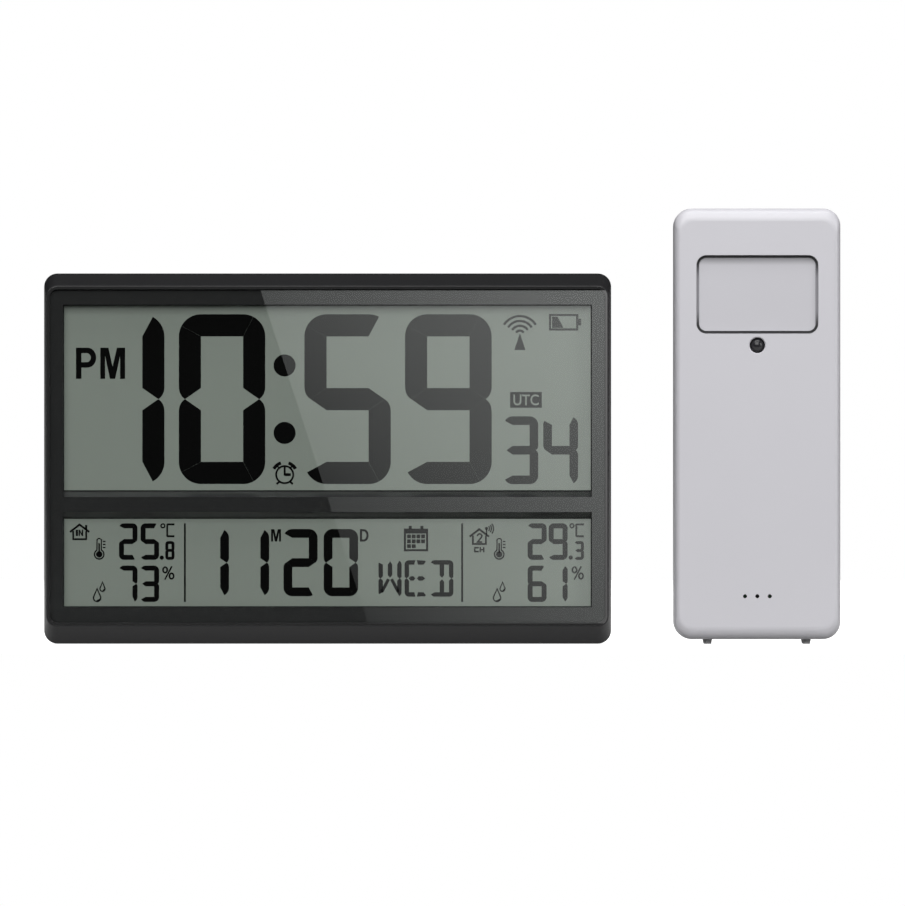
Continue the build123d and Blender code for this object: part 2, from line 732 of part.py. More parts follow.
# Clock: rear case with the battery bay, the stand's recess, the button strip and the keyhole
with BuildPart() as clock_rear_case:
    block(about(0, clock_width / 2), (0, clock_height), (parting_y, back_y), clock_corner_radius)
    fillet(edges().group_by(Axis.Y)[-1], radius=clock_back_fillet)
    cavity_y = (parting_y, back_inner_y)
    block(about(0, cavity_half_width), (cavity_low, cavity_high), cavity_y, mode=Mode.SUBTRACT)
    # Solid blocks that stand inside the shell, before they are hollowed
    block(grown(bay_x, bay_wall), grown(bay_z, bay_wall), (bay_floor_y - bay_wall, back_inner_y))
    ledge_margin = door_gap + door_ledge_margin
    ledge_z = (door_axis_z - door_thickness / 2, door_high)
    ledge_y = (back_y - door_thickness - door_ledge, back_inner_y)
    block(grown(door_x, ledge_margin), grown(ledge_z, ledge_margin), ledge_y)
    stand_half = stand_width / 2 + stand_side_gap
    stand_recess_low = stand_low - stand_end_gap
    stand_recess_high = stand_pivot_z + stand_thickness / 2 + stand_end_gap
    stand_back_y = back_y - stand_face_gap
    stand_recess_y = stand_back_y - stand_thickness - stand_end_gap
    stand_tub_x = about(stand_x, stand_half + stand_floor)
    stand_tub_z = (max(stand_recess_low - stand_floor, 0), stand_recess_high + stand_floor)
    block(stand_tub_x, stand_tub_z, (stand_recess_y - stand_floor, back_inner_y))
    pocket_x = about(0, keyhole_entry_radius + keyhole_pocket_margin)
    pocket_z = (
        keyhole_z - keyhole_entry_radius - keyhole_pocket_margin,
        keyhole_z + keyhole_rise + keyhole_slot_radius + keyhole_pocket_margin,
    )
    pocket_y = (back_inner_y - keyhole_pocket_depth, back_inner_y)
    block(
        grown(pocket_x, keyhole_pocket_wall),
        grown(pocket_z, keyhole_pocket_wall),
        (pocket_y[0] - keyhole_pocket_wall, back_inner_y),
    )
    disc(
        buzzer_x,
        buzzer_z,
        (back_inner_y - buzzer_ring_depth, back_inner_y),
        buzzer_radius + buzzer_gap + buzzer_ring_wall,
    )
    for end in (-1, 1):
        saddle_x = about(ferrite_x + end * (ferrite_length / 2 - saddle_end_inset), saddle_thickness / 2)
        saddle_reach = ferrite_radius + saddle_wall
        block(saddle_x, about(ferrite_z, saddle_reach), (ferrite_y - saddle_reach, back_inner_y))
    for x, z in screw_places:
        disc(x, z, cavity_y, rear_boss_radius)
    for end in (-1, 1):
        post_z = vent_z + end * (vent_length / 2 + indoor_board_margin - indoor_post_radius)
        disc(vent_x, post_z, (back_inner_y - indoor_post_length, back_inner_y), indoor_post_radius)
    # Hollows and holes
    block(bay_x, bay_z, (bay_floor_y, back_y + overrun), mode=Mode.SUBTRACT)
    recess_y = (back_y - door_thickness, back_y + overrun)
    block(grown(door_x, door_gap), grown(ledge_z, door_gap), recess_y, mode=Mode.SUBTRACT)
    bore_x = grown(door_x, door_pin_length + door_pin_end_room)
    bar_along_x(bore_x, door_axis_y, door_axis_z, door_pin_radius + door_pin_fit, mode=Mode.SUBTRACT)
    stand_recess = (stand_recess_y, back_y + overrun)
    stand_recess_x = about(stand_x, stand_half)
    block(stand_recess_x, (stand_recess_low, stand_recess_high), stand_recess, mode=Mode.SUBTRACT)
    stand_axis_y = stand_back_y - stand_thickness / 2
    stand_bore_x = about(stand_x, stand_width / 2 + stand_pin_length + stand_pin_end_room)
    stand_bore_radius = stand_pin_radius + stand_pin_fit
    bar_along_x(stand_bore_x, stand_axis_y, stand_pivot_z, stand_bore_radius, mode=Mode.SUBTRACT)
    block(pocket_x, pocket_z, pocket_y, mode=Mode.SUBTRACT)
    through_back = (back_inner_y, back_y)
    keyhole(0, keyhole_z, through_back, keyhole_entry_radius, keyhole_slot_radius, keyhole_rise)
    strip_half = (button_count - 1) * button_pitch / 2 + button_width / 2 + strip_margin_side
    strip_z = about(button_z, button_height / 2 + strip_margin_end)
    block(about(0, strip_half), strip_z, (back_y - strip_depth, back_y), strip_radius, Mode.SUBTRACT)
    for x in button_places:
        hole_x = about(x, button_width / 2 + button_gap)
        hole_z = about(button_z, button_height / 2 + button_gap)
        block(hole_x, hole_z, through_back, button_radius + button_gap, Mode.SUBTRACT)
    buzzer_well = (back_inner_y - buzzer_ring_depth, back_inner_y)
    disc(buzzer_x, buzzer_z, buzzer_well, buzzer_radius + buzzer_gap, mode=Mode.SUBTRACT)
    with BuildSketch(front_plane(back_inner_y)):
        with Locations((buzzer_x, buzzer_z)):
            Circle(sound_hole_radius)
            with PolarLocations(sound_hole_circle, sound_hole_count):
                Circle(sound_hole_radius)
        with Locations((vent_x, vent_z)):
            with GridLocations(vent_pitch, vent_length, vent_count, 1):
                SlotOverall(vent_length, vent_width, rotation=90)
    extrude(amount=-clock_back_wall, mode=Mode.SUBTRACT)
    for end in (-1, 1):
        saddle_x = about(ferrite_x + end * (ferrite_length / 2 - saddle_end_inset), saddle_thickness / 2)
        bar_along_x(saddle_x, ferrite_y, ferrite_z, ferrite_radius + ferrite_fit, mode=Mode.SUBTRACT)
    for x, z in screw_places:
        disc(x, z, (parting_y, screw_seat_y), screw_shank_radius + screw_hole_gap, mode=Mode.SUBTRACT)
        disc(x, z, (screw_seat_y, back_y), screw_head_radius + screw_head_gap, mode=Mode.SUBTRACT)
clock_rear_case.part.label = "clock_rear_case"

with BuildPart() as clock_case_screws:
    for place in screw_places:
        cross_head_screw(
            place, screw_seat_y, screw_head_radius, screw_head_height, screw_shank_radius, screw_shank_length
        )
clock_case_screws.part.label = "clock_case_screws"

# Clock: push buttons, each with a flange inside the wall and a stem to its switch
clock_buttons = {}
for button_name, x in zip(button_names, button_places):
    with BuildPart() as push_button:
        flange_back_y = back_inner_y - button_flange_gap
        flange_front_y = flange_back_y - button_flange
        cap_y = (flange_front_y, back_y - button_below_back)
        half_width, half_height = button_width / 2, button_height / 2
        block(about(x, half_width), about(button_z, half_height), cap_y, button_radius)
        fillet(edges().group_by(Axis.Y)[-1], radius=button_flange_gap)
        block(
            about(x, half_width + button_flange),
            about(button_z, half_height + button_flange),
            (flange_front_y, flange_back_y),
            button_radius,
        )
        stem_end_y = key_top_y + button_travel + button_free_play
        disc(x, button_z, (stem_end_y, flange_front_y), button_stem_radius)
    push_button.part.label = button_name
    clock_buttons[button_name] = push_button

# Clock: battery door on two pins, with a snap latch and grip grooves
with BuildPart() as clock_battery_door:
    door_y = (back_y - door_thickness, back_y)
    block(door_x, (door_axis_z, door_high), door_y)
    bar_along_x(door_x, door_axis_y, door_axis_z, door_thickness / 2)
    bar_along_x(grown(door_x, door_pin_length), door_axis_y, door_axis_z, door_pin_radius)
    latch_high = bay_z[1] - latch_inset
    latch_y = (door_y[0] - latch_depth, door_y[0])
    block(about(bay_centre_x, latch_width / 2), (latch_high - latch_thickness, latch_high), latch_y)
    for index in range(grip_groove_count):
        groove_z = door_high - grip_groove_inset - index * grip_groove_pitch
        groove_y = (back_y - grip_groove_depth, back_y)
        groove = about(groove_z, grip_groove_width / 2)
        block(about(bay_centre_x, latch_width / 2), groove, groove_y, mode=Mode.SUBTRACT)
clock_battery_door.part.label = "clock_battery_door"

# Clock: cells, contact plates and springs in the bay
spring_end_x = bay_x[0] + contact_thickness + spring_length + spring_gap
with BuildPart() as clock_batteries:
    battery_cell(Plane(origin=(spring_end_x, cell_y, cell_z[0]), z_dir=(1, 0, 0)))
    upper_end_x = bay_x[1] - contact_thickness - spring_length - spring_gap
    battery_cell(Plane(origin=(upper_end_x, cell_y, cell_z[1]), z_dir=(-1, 0, 0)))
clock_batteries.part.label = "clock_batteries"

with BuildPart() as clock_battery_plates:
    plate_y = about(cell_y, contact_half_width)
    for z in cell_z:
        block((bay_x[0], bay_x[0] + contact_thickness), about(z, contact_half_width), plate_y)
    bridge_z = (cell_z[0] - contact_half_width, cell_z[1] + contact_half_width)
    block((bay_x[1] - contact_thickness, bay_x[1]), bridge_z, plate_y)
clock_battery_plates.part.label = "clock_battery_plates"

with BuildPart() as clock_battery_springs:
    contact_spring(Plane(origin=(bay_x[0] + contact_thickness, cell_y, cell_z[0]), z_dir=(1, 0, 0)))
    contact_spring(Plane(origin=(bay_x[1] - contact_thickness, cell_y, cell_z[1]), z_dir=(-1, 0, 0)))
clock_battery_springs.part.label = "clock_battery_springs"

# Clock: table stand on two pins near its upper end
with BuildPart() as table_stand:
    stand_y = (stand_back_y - stand_thickness, stand_back_y)
    leg_x = about(stand_x, stand_width / 2)
    block(leg_x, (stand_low, stand_pivot_z), stand_y)
    bar_along_x(leg_x, stand_axis_y, stand_pivot_z, stand_thickness / 2)
    stand_pin_x = grown(leg_x, stand_pin_length)
    bar_along_x(stand_pin_x, stand_axis_y, stand_pivot_z, stand_pin_radius)
    thumb_z = (stand_low, stand_low + stand_thumb_height)
    thumb_y = (stand_back_y - stand_thumb_depth, stand_back_y)
    block(about(stand_x, stand_thumb_width / 2), thumb_z, thumb_y, mode=Mode.SUBTRACT)
    panel_x = grown(leg_x, -stand_panel_margin)
    panel_z = (thumb_z[1] + stand_panel_margin, stand_pivot_z - stand_panel_margin)
    block(panel_x, panel_z, (stand_back_y - stand_panel_depth, stand_back_y), mode=Mode.SUBTRACT)
table_stand.part.label = "table_stand"

# Clock: buzzer, indoor sensor board and the ferrite antenna with its winding
with BuildPart() as buzzer:
    disc(buzzer_x, buzzer_z, (back_inner_y - buzzer_thickness, back_inner_y), buzzer_radius)
buzzer.part.label = "buzzer"

with BuildPart() as indoor_sensor_board:
    indoor_back_y = back_inner_y - indoor_post_length
    indoor_x = about(vent_x, vent_count * vent_pitch / 2)
    indoor_z = about(vent_z, vent_length / 2 + indoor_board_margin)
    block(indoor_x, indoor_z, (indoor_back_y - indoor_board_thickness, indoor_back_y))
    chip_y = (indoor_back_y, indoor_back_y + indoor_chip_height)
    block(about(vent_x, indoor_chip_side / 2), about(vent_z, indoor_chip_side / 2), chip_y)
indoor_sensor_board.part.label = "indoor_sensor_board"

with BuildPart() as ferrite_rod:
    bar_along_x(about(ferrite_x, ferrite_length / 2), ferrite_y, ferrite_z, ferrite_radius)
ferrite_rod.part.label = "ferrite_rod"

with BuildPart() as antenna_coil:
    coil_x = about(ferrite_x, coil_length / 2)
    bar_along_x(coil_x, ferrite_y, ferrite_z, coil_radius)
    bar_along_x(coil_x, ferrite_y, ferrite_z, ferrite_radius + coil_fit, mode=Mode.SUBTRACT)
antenna_coil.part.label = "antenna_coil"

# Sensor: front case with an elliptical edge, the window pocket, the lamp hole and three vents
sensor_middle_z = sensor_floor + sensor_height / 2
sensor_body_z = (sensor_floor, sensor_floor + sensor_height)
with BuildPart() as sensor_front_case:
    for angle in sensor_edge_angles:
        turn = Vector(1, 0).rotate(Axis.Z, angle)
        edge_y = sensor_front_y + sensor_edge_depth * (1 - turn.X)
        drawn_in = 1 - turn.Y
        corner = sensor_corner_radius + (sensor_face_corner_radius - sensor_corner_radius) * drawn_in
        with BuildSketch(front_plane(edge_y)):
            with Locations((sensor_x, sensor_middle_z)):
                RectangleRounded(
                    sensor_width - 2 * sensor_edge_side * drawn_in,
                    sensor_height - 2 * sensor_edge_end * drawn_in,
                    corner,
                )
    loft()
    straight_y = (sensor_front_y + sensor_edge_depth, sensor_parting_y)
    block(about(sensor_x, sensor_width / 2), sensor_body_z, straight_y, sensor_corner_radius)
    hollow_x = about(sensor_x, sensor_width / 2 - sensor_wall)
    hollow_z = grown(sensor_body_z, -sensor_wall)
    hollow_radius = sensor_corner_radius - sensor_wall
    block(hollow_x, hollow_z, (sensor_front_inner_y, sensor_parting_y), hollow_radius, Mode.SUBTRACT)
    for x, z in sensor_screw_places:
        disc(x, z, (sensor_front_inner_y, sensor_parting_y), sensor_boss_radius)
    for post_z in sensor_post_z:
        for side in (-1, 1):
            post_y = (sensor_front_inner_y, sensor_board_front_y)
            disc(sensor_x + side * sensor_post_x, post_z, post_y, sensor_post_radius)
    for x, z in sensor_screw_places:
        pilot_end_y = sensor_screw_seat_y - screw_shank_length - screw_tip_room
        disc(x, z, (pilot_end_y, sensor_parting_y), sensor_screw_shank_radius + screw_fit, mode=Mode.SUBTRACT)
    pocket_half = sensor_window_width / 2
    pocket_cut = (sensor_front_y - overrun, sensor_pocket_y)
    block(about(sensor_x, pocket_half), sensor_window_z, pocket_cut, sensor_window_radius, Mode.SUBTRACT)
    opening_margin = sensor_groove + sensor_opening_margin
    block(
        about(sensor_x, pocket_half - opening_margin),
        grown(sensor_window_z, -opening_margin),
        (sensor_pocket_y, sensor_front_inner_y),
        sensor_opening_radius,
        Mode.SUBTRACT,
    )
    front_wall_y = (sensor_front_y, sensor_front_inner_y)
    disc(sensor_x, sensor_lamp_z, front_wall_y, lamp_radius + lamp_gap, mode=Mode.SUBTRACT)
    lamp_rim = edges().filter_by(GeomType.CIRCLE).group_by(Axis.Y)[0].sort_by(Edge.length)[-1]
    chamfer(lamp_rim, length=lamp_rim_chamfer)
    with BuildSketch(front_plane(sensor_front_y)):
        with Locations((sensor_x, sensor_floor + vent_hole_z)):
            with GridLocations(vent_hole_pitch, vent_hole_pitch, vent_hole_count, 1):
                Circle(vent_hole_radius)
    extrude(amount=-sensor_wall, mode=Mode.SUBTRACT)
sensor_front_case.part.label = "sensor_front_case"

# Sensor: milky window on a dark gasket, and the display behind it
with BuildPart() as sensor_window:
    block(
        about(sensor_x, pocket_half - sensor_groove),
        grown(sensor_window_z, -sensor_groove),
        (sensor_pocket_y - sensor_lens_thickness, sensor_pocket_y),
        sensor_window_radius - sensor_groove,
    )
sensor_window.part.label = "sensor_window"

with BuildPart() as sensor_window_gasket:
    gasket_y = (sensor_pocket_y - gasket_thickness, sensor_pocket_y)
    gasket_outer = about(sensor_x, pocket_half - gasket_fit)
    gasket_radius = sensor_window_radius - gasket_fit
    block(gasket_outer, grown(sensor_window_z, -gasket_fit), gasket_y, gasket_radius)
    gasket_inner_margin = sensor_groove - gasket_fit
    block(
        about(sensor_x, pocket_half - gasket_inner_margin),
        grown(sensor_window_z, -gasket_inner_margin),
        gasket_y,
        sensor_window_radius - gasket_inner_margin,
        Mode.SUBTRACT,
    )
sensor_window_gasket.part.label = "sensor_window_gasket"

with BuildPart() as sensor_lcd:
    sensor_lcd_y = (
        sensor_front_inner_y + sensor_lcd_seat,
        sensor_front_inner_y + sensor_lcd_seat + sensor_lcd_thickness,
    )
    sensor_lcd_z = grown(sensor_window_z, -sensor_lcd_margin)
    sensor_lcd_x = about(sensor_x, pocket_half - sensor_lcd_margin)
    block(sensor_lcd_x, sensor_lcd_z, sensor_lcd_y)
sensor_lcd.part.label = "sensor_lcd"

with BuildPart() as sensor_zebra_strip:
    sensor_zebra_low = sensor_lcd_z[0] + sensor_zebra_inset
    sensor_zebra_z = (sensor_zebra_low, sensor_zebra_low + sensor_zebra_height)
    sensor_zebra_y = (sensor_lcd_y[1], sensor_board_front_y)
    block(grown(sensor_lcd_x, -sensor_zebra_margin), sensor_zebra_z, sensor_zebra_y)
sensor_zebra_strip.part.label = "sensor_zebra_strip"

# Sensor: board with its lamp, humidity element and antenna
with BuildPart() as sensor_board:
    board_y = (sensor_board_front_y, sensor_board_back_y)
    block(about(sensor_x, sensor_board_half), sensor_board_z, board_y)
sensor_board.part.label = "sensor_board"

with BuildPart() as sensor_lamp:
    dome_y = sensor_front_y - lamp_proud + lamp_radius
    disc(sensor_x, sensor_lamp_z, (dome_y, sensor_board_front_y), lamp_radius)
    flange_y = (sensor_board_front_y - lamp_flange_height, sensor_board_front_y)
    disc(sensor_x, sensor_lamp_z, flange_y, lamp_flange_radius)
    with Locations((sensor_x, dome_y, sensor_lamp_z)):
        Sphere(lamp_radius)
sensor_lamp.part.label = "sensor_lamp"

with BuildPart() as humidity_element:
    element_z = (sensor_board_z[0], sensor_board_z[0] + element_side)
    element_y = (sensor_board_front_y - element_height, sensor_board_front_y)
    block(about(sensor_x, element_side / 2), element_z, element_y)
humidity_element.part.label = "humidity_element"

with BuildPart() as sensor_antenna:
    antenna_z = (sensor_floor + antenna_low, sensor_lamp_z - antenna_below_lamp)
    antenna_x = sensor_x + sensor_board_half - antenna_inset
    with BuildSketch(Plane.XY.offset(antenna_z[0])):
        with Locations((antenna_x, sensor_board_front_y - antenna_radius - antenna_gap)):
            Circle(antenna_radius)
    extrude(amount=antenna_z[1] - antenna_z[0])
sensor_antenna.part.label = "sensor_antenna"

# Sensor: rear case with the battery bay, the control well, the seal groove and the keyhole
with BuildPart() as sensor_rear_case:
    rear_y = (sensor_parting_y, sensor_back_y)
    block(about(sensor_x, sensor_width / 2), sensor_body_z, rear_y, sensor_corner_radius)
    fillet(edges().group_by(Axis.Y)[-1], radius=sensor_back_fillet)
    rear_hollow_y = (sensor_parting_y, sensor_back_inner_y)
    block(hollow_x, hollow_z, rear_hollow_y, hollow_radius, Mode.SUBTRACT)
    # Solid blocks that stand inside the shell, before they are hollowed
    sensor_bay_x = about(sensor_x, sensor_bay_half)
    tray_x = grown(sensor_bay_x, sensor_bay_wall)
    tray_y = (sensor_bay_floor_y - sensor_bay_floor, sensor_back_inner_y)
    block(tray_x, grown(sensor_bay_z, sensor_bay_wall), tray_y)
    block(tray_x, grown(sensor_well_z, sensor_bay_wall), (well_floor_front_y, sensor_back_inner_y))
    sensor_door_x = about(sensor_x, sensor_door_half)
    sensor_ledge_z = (sensor_door_axis_z - sensor_door_thickness / 2, sensor_door_high)
    sensor_ledge_y = (sensor_back_y - sensor_door_thickness - sensor_ledge, sensor_back_inner_y)
    block(grown(sensor_door_x, ledge_margin), grown(sensor_ledge_z, ledge_margin), sensor_ledge_y)
    for x, z in sensor_screw_places:
        disc(x, z, rear_hollow_y, sensor_rear_boss_radius)
    # Hollows and holes
    block(sensor_bay_x, sensor_bay_z, (sensor_bay_floor_y, sensor_back_y + overrun), mode=Mode.SUBTRACT)
    block(sensor_bay_x, sensor_well_z, (well_floor_y, sensor_back_y + overrun), mode=Mode.SUBTRACT)
    sensor_recess_y = (sensor_back_y - sensor_door_thickness, sensor_back_y + overrun)
    block(
        grown(sensor_door_x, door_gap), grown(sensor_ledge_z, door_gap), sensor_recess_y, mode=Mode.SUBTRACT
    )
    end_wall_z = (sensor_bay_z[1], sensor_well_z[0])
    end_wall_top = (sensor_recess_y[0] - sensor_bay_end_drop, sensor_recess_y[1])
    block(sensor_bay_x, end_wall_z, end_wall_top, mode=Mode.SUBTRACT)
    sensor_bore_x = grown(sensor_door_x, door_pin_length + door_pin_end_room)
    sensor_bore_radius = sensor_door_pin_radius + door_pin_fit
    bar_along_x(sensor_bore_x, sensor_door_axis_y, sensor_door_axis_z, sensor_bore_radius, mode=Mode.SUBTRACT)
    well_floor_span = (well_floor_front_y, well_floor_y)
    slot_half_width = switch_knob_width / 2 + switch_travel + switch_slot_gap
    slot_z = about(well_z, switch_knob_height / 2 + switch_slot_gap)
    block(about(sensor_x + switch_x, slot_half_width), slot_z, well_floor_span, mode=Mode.SUBTRACT)
    transmit_hole_radius = transmit_radius + transmit_gap
    disc(sensor_x + transmit_x, well_z, well_floor_span, transmit_hole_radius, mode=Mode.SUBTRACT)
    keyhole(
        sensor_x,
        sensor_keyhole_z,
        (sensor_back_inner_y, sensor_back_y),
        sensor_keyhole_entry_radius,
        sensor_keyhole_slot_radius,
        sensor_keyhole_rise,
    )
    for x, z in sensor_screw_places:
        shank_y = (sensor_parting_y, sensor_screw_seat_y)
        head_y = (sensor_screw_seat_y, sensor_back_y)
        disc(x, z, shank_y, sensor_screw_shank_radius + screw_hole_gap, mode=Mode.SUBTRACT)
        disc(x, z, head_y, sensor_screw_head_radius + screw_head_gap, mode=Mode.SUBTRACT)
    groove_inset = seal_inset - seal_fit
    with BuildSketch(front_plane(sensor_parting_y)):
        with Locations((sensor_x, sensor_middle_z)):
            RectangleRounded(
                sensor_width - 2 * groove_inset,
                sensor_height - 2 * groove_inset,
                sensor_corner_radius - groove_inset,
            )
            groove_inner = seal_inset + seal_width + seal_fit
            RectangleRounded(
                sensor_width - 2 * groove_inner,
                sensor_height - 2 * groove_inner,
                sensor_corner_radius - groove_inner,
                mode=Mode.SUBTRACT,
            )
    extrude(amount=-seal_depth, mode=Mode.SUBTRACT)
sensor_rear_case.part.label = "sensor_rear_case"

with BuildPart() as sensor_seal:
    with BuildSketch(front_plane(sensor_parting_y)):
        with Locations((sensor_x, sensor_middle_z)):
            RectangleRounded(
                sensor_width - 2 * seal_inset,
                sensor_height - 2 * seal_inset,
                sensor_corner_radius - seal_inset,
            )
            seal_inner = seal_inset + seal_width
            RectangleRounded(
                sensor_width - 2 * seal_inner,
                sensor_height - 2 * seal_inner,
                sensor_corner_radius - seal_inner,
                mode=Mode.SUBTRACT,
            )
    extrude(amount=-seal_depth)
sensor_seal.part.label = "sensor_seal"

with BuildPart() as sensor_case_screws:
    for place in sensor_screw_places:
        cross_head_screw(
            place,
            sensor_screw_seat_y,
            sensor_screw_head_radius,
            sensor_screw_head_height,
            sensor_screw_shank_radius,
            screw_shank_length,
        )
sensor_case_screws.part.label = "sensor_case_screws"

# Sensor: feet, a front pair and a rear pair
with BuildPart() as sensor_feet:
    foot_rows = (sensor_front_y + foot_front_inset, sensor_back_y - foot_back_inset)
    for foot_x in about(sensor_x, sensor_width / 2 - foot_side_inset):
        for foot_y in foot_rows:
            with BuildSketch(Plane.XY) as foot_tip:
                with Locations((foot_x, foot_y)):
                    Circle(foot_tip_radius)
            with BuildSketch(Plane.XY.offset(foot_height)) as foot_top:
                with Locations((foot_x, foot_y)):
                    Circle(foot_top_radius)
            loft()
sensor_feet.part.label = "sensor_feet"

# Sensor: battery door on two pins, with a snap latch and grip grooves
with BuildPart() as sensor_battery_door:
    sensor_door_y = (sensor_back_y - sensor_door_thickness, sensor_back_y)
    block(sensor_door_x, (sensor_door_axis_z, sensor_door_high), sensor_door_y)
    bar_along_x(sensor_door_x, sensor_door_axis_y, sensor_door_axis_z, sensor_door_thickness / 2)
    sensor_pin_x = grown(sensor_door_x, door_pin_length)
    bar_along_x(sensor_pin_x, sensor_door_axis_y, sensor_door_axis_z, sensor_door_pin_radius)
    sensor_latch_high = sensor_well_z[1] - latch_inset
    sensor_latch_y = (sensor_door_y[0] - sensor_latch_depth, sensor_door_y[0])
    sensor_latch_x = about(sensor_x, sensor_latch_width / 2)
    block(sensor_latch_x, (sensor_latch_high - latch_thickness, sensor_latch_high), sensor_latch_y)
    for index in range(grip_groove_count):
        groove_z = sensor_door_high - grip_groove_inset - index * grip_groove_pitch
        groove_y = (sensor_back_y - grip_groove_depth, sensor_back_y)
        block(sensor_latch_x, about(groove_z, grip_groove_width / 2), groove_y, mode=Mode.SUBTRACT)
sensor_battery_door.part.label = "sensor_battery_door"

# Sensor: cells, contact plates and springs in the bay
with BuildPart() as sensor_batteries:
    low_end_z = sensor_bay_z[0] + contact_thickness + spring_length + spring_gap
    battery_cell(Plane(origin=(sensor_cell_x[0], sensor_cell_y, low_end_z), z_dir=(0, 0, 1)))
    high_end_z = sensor_bay_z[1] - contact_thickness - spring_length - spring_gap
    battery_cell(Plane(origin=(sensor_cell_x[1], sensor_cell_y, high_end_z), z_dir=(0, 0, -1)))
sensor_batteries.part.label = "sensor_batteries"

with BuildPart() as sensor_battery_plates:
    sensor_plate_y = about(sensor_cell_y, contact_half_width)
    for x in sensor_cell_x:
        high_plate_z = (sensor_bay_z[1] - contact_thickness, sensor_bay_z[1])
        block(about(x, contact_half_width), high_plate_z, sensor_plate_y)
    low_plate_x = (sensor_cell_x[0] - contact_half_width, sensor_cell_x[1] + contact_half_width)
    block(low_plate_x, (sensor_bay_z[0], sensor_bay_z[0] + contact_thickness), sensor_plate_y)
sensor_battery_plates.part.label = "sensor_battery_plates"

with BuildPart() as sensor_battery_springs:
    low_seat = (sensor_cell_x[0], sensor_cell_y, sensor_bay_z[0] + contact_thickness)
    contact_spring(Plane(origin=low_seat, z_dir=(0, 0, 1)))
    high_seat = (sensor_cell_x[1], sensor_cell_y, sensor_bay_z[1] - contact_thickness)
    contact_spring(Plane(origin=high_seat, z_dir=(0, 0, -1)))
sensor_battery_springs.part.label = "sensor_battery_springs"

# Sensor: channel slide switch and transmit button in the control well
with BuildPart() as channel_switch_body:
    switch_body_x = about(sensor_x + switch_x, switch_body_width / 2)
    switch_top_y = sensor_board_back_y + switch_body_depth
    block(switch_body_x, about(well_z, switch_body_height / 2), (sensor_board_back_y, switch_top_y))
channel_switch_body.part.label = "channel_switch_body"

with BuildPart() as channel_switch_knob:
    knob_y = (switch_top_y + switch_knob_seat, well_floor_y + switch_knob_reach)
    knob_x = about(sensor_x + switch_x, switch_knob_width / 2)
    block(knob_x, about(well_z, switch_knob_height / 2), knob_y)
channel_switch_knob.part.label = "channel_switch_knob"

with BuildPart() as transmit_button:
    transmit_flange_y = (
        well_floor_front_y - transmit_flange_gap - transmit_flange_thickness,
        well_floor_front_y - transmit_flange_gap,
    )
    cap_end_y = well_floor_y + transmit_proud
    disc(sensor_x + transmit_x, well_z, (transmit_flange_y[0], cap_end_y), transmit_radius)
    disc(sensor_x + transmit_x, well_z, transmit_flange_y, transmit_radius + transmit_flange)
transmit_button.part.label = "transmit_button"

with BuildPart() as transmit_switch:
    switch_half = transmit_switch_side / 2
    transmit_switch_y = (sensor_board_back_y, sensor_board_back_y + transmit_switch_height)
    block(about(sensor_x + transmit_x, switch_half), about(well_z, switch_half), transmit_switch_y)
    plunger_end_y = transmit_flange_y[0] - transmit_travel - button_free_play
    disc(sensor_x + transmit_x, well_z, (transmit_switch_y[1], plunger_end_y), transmit_plunger_radius)
transmit_switch.part.label = "transmit_switch"

clock_pieces = [
    clock_front_case, clock_rear_case, clock_window, lcd_front_polariser, lcd_front_glass, lcd_rear_glass,
    lcd_reflector, lcd_carrier, lcd_zebra_strip, main_board, board_screws, processor_blob, board_components,
    key_switches, radio_receiver, clock_case_screws, clock_battery_door, clock_batteries,
    clock_battery_plates, clock_battery_springs, table_stand, buzzer, indoor_sensor_board, ferrite_rod,
    antenna_coil, *clock_buttons.values(),
]
sensor_pieces = [
    sensor_front_case, sensor_rear_case, sensor_window, sensor_window_gasket, sensor_lcd, sensor_zebra_strip,
    sensor_board, sensor_lamp, humidity_element, sensor_antenna, sensor_seal, sensor_case_screws, sensor_feet,
    sensor_battery_door, sensor_batteries, sensor_battery_plates, sensor_battery_springs,
    channel_switch_body, channel_switch_knob, transmit_button, transmit_switch,
]
for piece in clock_pieces + sensor_pieces:
    export_step(piece.part, f"parts/{piece.part.label}.step")
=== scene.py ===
"""Room clock with a thermometer, a hygrometer and a wireless sensor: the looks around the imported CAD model."""

import math

import bpy
from bpy.props import FloatProperty, FloatVectorProperty, IntProperty, PointerProperty
from bpy.types import Operator, Panel, PropertyGroup
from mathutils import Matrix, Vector


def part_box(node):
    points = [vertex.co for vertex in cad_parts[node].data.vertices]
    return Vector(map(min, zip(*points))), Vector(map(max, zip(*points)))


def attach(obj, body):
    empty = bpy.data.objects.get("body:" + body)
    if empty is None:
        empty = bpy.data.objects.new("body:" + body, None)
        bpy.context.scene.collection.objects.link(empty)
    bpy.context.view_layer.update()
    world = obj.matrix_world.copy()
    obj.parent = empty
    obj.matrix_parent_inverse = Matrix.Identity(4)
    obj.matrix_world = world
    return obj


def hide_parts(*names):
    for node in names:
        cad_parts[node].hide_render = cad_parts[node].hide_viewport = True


bl_info = {
    "name": "Room Clock",
    "version": (1, 0, 0),
    "blender": (4, 5, 0),
    "location": "3D View > Sidebar > Room Clock",
    "description": "Display artwork, cells, springs, marks, finishes and stage for a room clock and its sensor",
    "category": "Object",
}

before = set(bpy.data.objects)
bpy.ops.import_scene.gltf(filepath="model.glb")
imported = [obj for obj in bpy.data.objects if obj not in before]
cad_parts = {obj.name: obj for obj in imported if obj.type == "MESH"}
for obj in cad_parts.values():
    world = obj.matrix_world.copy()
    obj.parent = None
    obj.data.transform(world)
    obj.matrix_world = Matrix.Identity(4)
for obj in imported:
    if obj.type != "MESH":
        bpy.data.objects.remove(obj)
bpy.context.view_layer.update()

MM = 0.001
